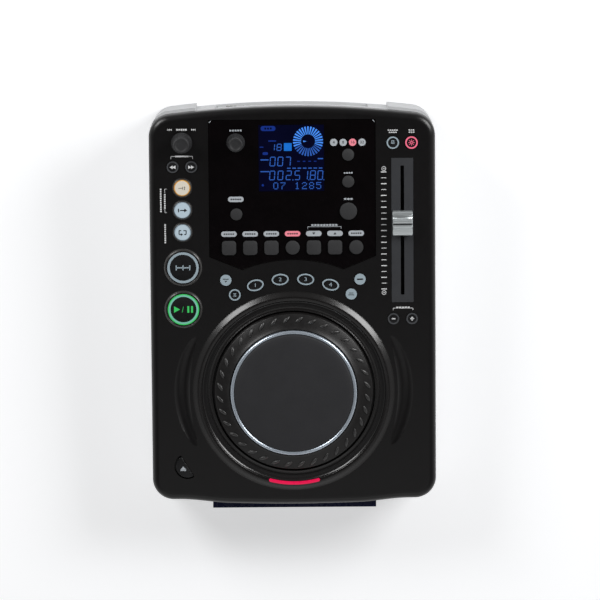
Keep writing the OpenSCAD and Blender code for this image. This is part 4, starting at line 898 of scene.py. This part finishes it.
def marks(name, outlines, w, slot="key_pale", material="pale_print_and_glint", rings=()):
    """Thin prints on a face at a height w."""
    form = plates(outlines, rings, w - PRINT_DEEP, w + PRINT_RISE, 32)
    piece(name, form, "player", slot, material)


def steps(count, pitch):
    return [pitch * (i - (count - 1) / 2) for i in range(count)]


def blocks(u, v, count, pitch, wide, long):
    """A row of blocks round a middle, which stands for a word."""
    return [bar(u + step, v, wide, long) for step in steps(count, pitch)]


def upright(u, v, count):
    return [bar(u, v + step, 1.2, 1.25) for step in steps(count, 1.7)]


def bracket(u, v, half, drop=2, thick=0.35):
    ends = [bar(u + side * half, v - drop / 2, thick, drop) for side in (-1, 1)]
    return [bar(u, v, 2 * half, thick)] + ends


def skip(u, v, way):
    """Two triangles and a bar, as on a track key."""
    turn = 0 if way > 0 else math.pi
    pair = [triangle(u + reach * way, v, 1.5, 0.8, turn) for reach in (0.9, -0.6)]
    return pair + [bar(u + 1.85 * way, v, 0.3, 1.6)]


TRACK = middle("track_knob")
FOLDER = middle("folder_knob")
SCALE_U, SCALE_V, SCALE_PITCH = 70.3, 13.2, 4.56
MINUS_END, PLUS_END = (70.4, 107), (70.2, 10.4)
BEND_U, BEND_V = 84.8, -1.9
LOOP_U = -98


def cover_marks():
    label_v = TRACK.y + 10.2
    found = skip(TRACK.x - 8.8, label_v, -1) + skip(TRACK.x + 8.8, label_v, 1)
    found += blocks(TRACK.x, label_v, 5, 1.7, 1.35, 1.4)
    found += bracket(TRACK.x, 117.6, 8.3) + [bar(TRACK.x, 117.6, 10.5, 1.1)]
    for i in range(21):
        wide, long = (4.3, 0.75) if i % 2 == 0 else (3.9, 0.5)
        found.append(bar(SCALE_U, SCALE_V + SCALE_PITCH * i, wide, long))
    found += [bar(*MINUS_END, 1.3, 0.5), bar(*PLUS_END, 1.3, 0.4), bar(*PLUS_END, 0.4, 1.3)]
    found += bracket(BEND_U, BEND_V, 7.6, 1.6) + blocks(BEND_U, BEND_V + 0.7, 5, 2.2, 1.7, 0.9)
    for name, upper, lower in (("tempo_lock", 5, 4), ("pitch_on", 3, 3)):
        u, v = KEYS[name].centre
        found += blocks(u, v + 9.6, upper, 1.6, 1.2, 0.9) + blocks(u, v + 7.9, lower, 1.6, 1.2, 0.9)
    found += upright(LOOP_U - 3.1, 83.5, 11) + upright(LOOP_U, 82.8, 7)
    found += [bar(LOOP_U, v, 0.35, 3.2) for v in (90.8, 75.5)]
    found += [bar(LOOP_U + 0.7, v, 1.6, 0.35) for v in (92.4, 74)]
    found += upright(LOOP_U, 57.6, 9)
    circles = [(MINUS_END, 1.3, 1.75), (PLUS_END, 1.3, 1.75)]
    marks("cover_print", found, 0, material="print_white", rings=circles)


def pill(u, v, wide=12, long=4.2):
    return rounded(wide, long, long / 2, (u, v), 10)


RANGES = ("4", "8", "16", "32")
RANGE_LIT = 2
RANGE_U, RANGE_V, RANGE_PITCH = 32.1, 127.5, 7.23
PILL_KEYS = ("effect_1", "effect_2", "effect_3", "effect_4", "param_down", "param_up", "hold")
PILL_LIT = 3


def panel_marks():
    """Pale pills with dark blocks over the keys, one of them lit, the discs with the ranges' numbers, and
    pale ticks at the rear corners that are painted glints.
    """
    row_v = KEYS["effect_1"].centre[1] + 10.75
    places = [KEYS[name].centre[0] for name in PILL_KEYS]
    down, up = places[4], places[5]
    scratch_u, scratch_v = KEYS["scratch"].centre[0] - 0.3, KEYS["scratch"].centre[1] + 11.65
    centres = [(RANGE_U + RANGE_PITCH * i, RANGE_V) for i in range(len(RANGES))]
    discs = [circle(2.85, 32, centre) for centre in centres]
    found = [pill(u, row_v) for i, u in enumerate(places) if i != PILL_LIT] + [pill(scratch_u, scratch_v)]
    found += bracket((down + up) / 2, row_v + 5.3, (up - down) / 2 + 4.7, 1.6)
    found += blocks((down + up) / 2, row_v + 6.6, 9, 2.3, 1.8, 1.3)
    found += blocks(FOLDER.x, FOLDER.y + 9.2, 5, 2, 1.5, 1.3)
    time_u, time_v = KEYS["time"].centre
    tap_u, tap_v = KEYS["tap"].centre
    found += blocks(time_u, time_v + 6.7, 4, 1.8, 1.3, 1.2) + blocks(tap_u, tap_v + 9.4, 3, 2.4, 1.8, 1.4)
    found += [disc for i, disc in enumerate(discs) if i != RANGE_LIT]
    # Two pale diagonal ticks at the panel's rear corners: painted glints that stand in for highlights on the
    # corners.
    for side in (-1, 1):
        found.append(bar(side * (PANEL_HIGH.x - 1.3), PANEL_REAR - 1.4, 0.5, 1.8, side * math.pi / 4))
    marks("panel_print_and_corner_glints", found, PANEL_W)
    lit = [pill(places[PILL_LIT], row_v), discs[RANGE_LIT]]
    marks("panel_lit_print", lit, PANEL_W, "led_red", "lit_pink")
    inks = []
    for u in places[:4] + places[6:]:
        inks += blocks(u, row_v, 5, 1.7, 1.2, 1.1)
    inks += [triangle(u, row_v, 1.7, 1.2, turn) for u, turn in ((down, -math.pi / 2), (up, math.pi / 2))]
    inks += blocks(scratch_u, scratch_v, 5, 1.7, 1.2, 1.1)
    marks("panel_ink", inks, PANEL_W + 0.035, "key_dark", "print_dark")
    for text, centre in zip(RANGES, centres):
        level = PANEL_W + 0.04
        number(text, "range_number_" + text, "player", "print_dark", centre, level, 3, 1.1)


cover_marks()
panel_marks()

# ---- The display's picture ----

SEGMENTS = {"0": "abcdef", "1": "bc", "2": "abged", "5": "afgcd", "7": "abc", "8": "abcdefg"}


def seven(digit, u, v, wide, high, thick=0.75, slant=0.08):
    """Outlines of a seven-segment digit round its middle."""
    half_w, half_h = wide / 2, high / 2
    places = {
        "a": (0, half_h, 0), "d": (0, -half_h, 0), "g": (0, 0, 0), "f": (-half_w, half_h / 2, 90),
        "b": (half_w, half_h / 2, 90), "e": (-half_w, -half_h / 2, 90), "c": (half_w, -half_h / 2, 90),
    }
    found = []
    for segment in SEGMENTS[digit]:
        x, y, turn = places[segment]
        reach = (wide if turn == 0 else half_h) / 2 - thick * 0.55
        t = thick / 2
        tip = reach + t * 0.8
        hexagon = [(-tip, 0), (-reach, -t), (reach, -t), (tip, 0), (reach, t), (-reach, t)]
        leaning = turned(hexagon, math.radians(turn), (x, y))
        found.append([(u + px + slant * py, v + py) for px, py in leaning])
    return found


DOTS = {
    "0": "01110 10001 10001 10001 10001 10001 01110", "1": "00100 01100 00100 00100 00100 00100 01110",
    "2": "01110 10001 00001 00110 01000 10000 11111", "5": "11111 10000 11110 00001 00001 10001 01110",
    "7": "11111 00001 00010 00100 01000 01000 01000", "8": "01110 10001 10001 01110 10001 10001 01110",
}


def dot_digit(digit, u, v, pitch):
    lines = DOTS[digit].split()
    return [
        rounded(pitch * 0.86, pitch * 0.86, 0.05, (u + (x - 2) * pitch, v + (3 - y) * pitch), 1)
        for y, line in enumerate(lines) for x, mark in enumerate(line) if mark == "1"
    ]


def display():
    """The picture in the glass: a ring of bars, a square, plain numbers and small marks, in four blues."""
    bright, mid, dim = [], [], []
    ring_u, ring_v = 12.4, 128.5
    square_v, track_v, time_v, text_v, pill_v = 124.2, 113, 102.2, 94.1, 138.6
    inner, outer, wedges = 5.4, 11.5, 30
    wedge = [(inner, -0.3), (outer, -0.66), (outer, 0.66), (inner, 0.3)]
    for i in range(wedges):
        a = 2 * math.pi * (i + 0.5) / wedges
        (bright if math.sin(a) > -0.45 else mid).append(turned(wedge, a, (ring_u, ring_v)))
    bright.append(triangle(ring_u - 2.4, ring_v, 2.6, 0.7))
    deep = [rounded(6, 6.1, 0.4, (-3.15, square_v), 3)]
    short, tall = (3.2, 4.9, 0.62), (3.7, 6.8, 0.66)
    for i, digit in enumerate("18"):
        mid += seven(digit, -15 + 5.2 * i, square_v - 0.2, *short)
    for i, digit in enumerate("007"):
        mid += seven(digit, -14.9 + 5.9 * i, track_v, *tall)
    for digit, u in zip("0025180", (-15.3, -9, -2.6, 4, 10, 15.9, 21.6)):
        mid += seven(digit, u, time_v, *tall)
    mid += [circle(0.45, 12, (u, 98.6)) for u in (0.6, 12.9, 24.4)]
    for i, digit in enumerate("07 1285"):
        if digit != " ":
            mid += dot_digit(digit, -12.6 + 5.5 * i, text_v, 0.78)
    mid += [bar(-2.5 + 4.07 * i, 107.7, 2.7, 0.8) for i in range(7)]
    mid += [bar(-21.1, 114.3, 6.2, 0.9), bar(-20.9, 105.2, 6.8, 0.8), bar(21.8, 115, 4, 0.9)]
    dim += [bar(u, track_v, 2, 0.7) for u in (5, 9.3, 13.6, 17.8)]
    dim += [bar(-23.3, square_v, 2.8, 0.7), bar(-15.1, 128.9, 6, 0.9), circle(0.9, 16, (-22.6, 94.6))]
    dim += [rounded(4.2, 2.2, 1.1, (-20.5, 119.2)), rounded(11.4, 3.9, 1.9, (-18.2, pill_v), 8)]
    ink = blocks(-18.2, pill_v, 3, 2.1, 1.3, 1.5)
    for level, outlines in (("bright", bright), ("mid", mid), ("deep", deep), ("dim", dim)):
        marks("display_" + level, outlines, GLASS_W, "display_glass", level + "_blue")
    marks("display_ink", ink, GLASS_W + 0.04, "display_glass", "display_glass")


display()

# ---- Finishes of the CAD nodes that stay ----

CARRIED = {
    "base_housing": "base_grey", "display_module": "display_glass", "fader_body": "rubber",
    "slot_trim": "trim_navy", "feet": "rubber", "screws": "steel", "main_board": "board_green",
    "control_board": "board_green", "power_supply": "supply_board", "rear_panel": "panel_grey",
    "rear_jacks": "jack_metal", "drive_chassis": "steel", "turntable": "knob_black",
    "optical_sled": "knob_black", "lead_screw": "steel", "loading_roller": "rubber",
    "power_switch": "key_dark",
}
for name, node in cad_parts.items():
    node.data.materials.clear()
    node.data.materials.append(MATERIALS[CARRIED.get(name, "key_rubber")])

# ---- Stage, light and camera ----

WHITE = (1, 1, 1, 1)
FLOOR_HALF = 4
FLOOR_COLOR, FLOOR_BOUNCE = (0.82, 0.83, 0.85, 1), (0.45, 0.45, 0.46, 1)
FLOOR_GLOW = 0.48
# Heights on the sky are sines of the elevation.
WALL_END, CEILING_START = 0.15, 0.85
WALL_LEVEL, CEILING_LEVEL = 0.45, 0.03
BACKDROP_FULL, BACKDROP_END = 0.10, 0.25
LAMP_AIM = 0.08
MIRROR_RAYS = ("Is Glossy Ray", "Is Transmission Ray")


def combined(nodes, link, operation, first, second):
    made = nodes.new("ShaderNodeMath")
    made.operation = operation
    link(first, made.inputs[0])
    link(second, made.inputs[1])
    return made.outputs[0]


def seen_by(nodes, link, kinds):
    """One where a ray is of a kind in the list, and 0 elsewhere."""
    path = nodes.new("ShaderNodeLightPath")
    total = path.outputs[kinds[0]]
    for kind in kinds[1:]:
        total = combined(nodes, link, "MAXIMUM", total, path.outputs[kind])
    return total


def picked(nodes, link, share, first, second):
    """The second shader by a share, and the first for the rest."""
    pick = nodes.new("ShaderNodeMixShader")
    link(share, pick.inputs["Fac"])
    link(first, pick.inputs[1])
    link(second, pick.inputs[2])
    return pick.outputs[0]


def make_floor():
    """A pale floor that keeps the shadow. Diffuse rays see it darker, so that it lights the player less."""
    mesh = bpy.data.meshes.new("floor")
    corners = [(FLOOR_HALF * x, FLOOR_HALF * y, 0) for x, y in ((-1, -1), (1, -1), (1, 1), (-1, 1))]
    mesh.from_pydata(corners, [], [(0, 1, 2, 3)])
    floor = placed("floor", mesh)
    material = bpy.data.materials.new("floor_white")
    nodes, link = open_tree(material)
    nodes.clear()
    matt = add(nodes, "BsdfDiffuse", Color=FLOOR_COLOR)
    bounce = add(nodes, "BsdfDiffuse", Color=FLOOR_BOUNCE)
    glow = add(nodes, "Emission", Color=WHITE, Strength=FLOOR_GLOW)
    both = nodes.new("ShaderNodeAddShader")
    link(matt.outputs[0], both.inputs[0])
    link(glow.outputs[0], both.inputs[1])
    seen = seen_by(nodes, link, ("Is Camera Ray", *MIRROR_RAYS))
    out = nodes.new("ShaderNodeOutputMaterial")
    link(picked(nodes, link, seen, bounce.outputs[0], both.outputs[0]), out.inputs["Surface"])
    mesh.materials.append(material)


def make_world():
    """Dim overhead and paler towards the walls. The camera, and mirror rays near the horizon, see white."""
    world = bpy.data.worlds.new("studio")
    bpy.context.scene.world = world
    nodes, link = open_tree(world)
    nodes.clear()
    place = nodes.new("ShaderNodeTexCoord")
    split = nodes.new("ShaderNodeSeparateXYZ")
    link(place.outputs["Generated"], split.inputs[0])
    level = add(nodes, "MapRange", From_Min=WALL_END, From_Max=CEILING_START,
                To_Min=WALL_LEVEL, To_Max=CEILING_LEVEL)
    link(split.outputs["Z"], level.inputs["Value"])
    dim = add(nodes, "Background", Color=WHITE)
    link(level.outputs["Result"], dim.inputs["Strength"])
    white = add(nodes, "Background", Color=WHITE)
    backdrop = add(nodes, "MapRange", From_Min=BACKDROP_FULL, From_Max=BACKDROP_END, To_Min=1, To_Max=0)
    link(split.outputs["Z"], backdrop.inputs["Value"])
    mirrors = seen_by(nodes, link, MIRROR_RAYS)
    mirrored = combined(nodes, link, "MULTIPLY", backdrop.outputs["Result"], mirrors)
    shown = combined(nodes, link, "MAXIMUM", mirrored, seen_by(nodes, link, ("Is Camera Ray",)))
    out = nodes.new("ShaderNodeOutputWorld")
    link(picked(nodes, link, shown, dim.outputs[0], white.outputs[0]), out.inputs["Surface"])


def softbox(name, azimuth, elevation, distance, size, power):
    """An oblong lamp that faces the player. Azimuth 0 stands at +X and 90 at the rear."""
    lamp = bpy.data.lights.new(name, "AREA")
    lamp.shape = "RECTANGLE"
    lamp.size, lamp.size_y = size
    lamp.energy = power
    thing = placed(name, lamp)
    a, e = math.radians(azimuth), math.radians(elevation)
    way = Vector((math.cos(a) * math.cos(e), math.sin(a) * math.cos(e), math.sin(e)))
    thing.location = way * distance + Vector((0, 0, LAMP_AIM))
    thing.rotation_euler = way.to_track_quat("Z", "Y").to_euler()


def make_camera():
    """The photograph's view: far off, ten degrees to the rear of the deck's normal, a little turned."""
    distance, lean, roll, lens = 3.8, math.radians(5), math.radians(0.43), 295.5
    off_right, off_down = 5.3 * MM, 5 * MM
    back = Vector((0, math.sin(lean), math.cos(lean)))
    right = Vector((1, 0, 0))
    up = back.cross(right)
    x = right * math.cos(roll) - up * math.sin(roll)
    y = right * math.sin(roll) + up * math.cos(roll)
    aim = DECK.translation + x * off_right + y * off_down
    camera = bpy.data.cameras.new("camera")
    camera.lens = lens
    camera.sensor_width = 36
    thing = placed("camera", camera)
    place = Matrix((x, y, back)).transposed().to_4x4()
    place.translation = aim + back * distance
    thing.matrix_world = place
    bpy.context.scene.camera = thing


make_floor()
make_world()
softbox("soft_left", 137, 38, 1.5, (0.5, 0.6), 7.5)
softbox("soft_right", 32, 38, 1.5, (0.65, 0.6), 11)
softbox("soft_front", 270, 64, 2, (1.6, 0.5), 1)
softbox("soft_low", 270, 38, 2, (2, 0.8), 2)
make_camera()
bpy.context.scene.view_settings.view_transform = "Standard"
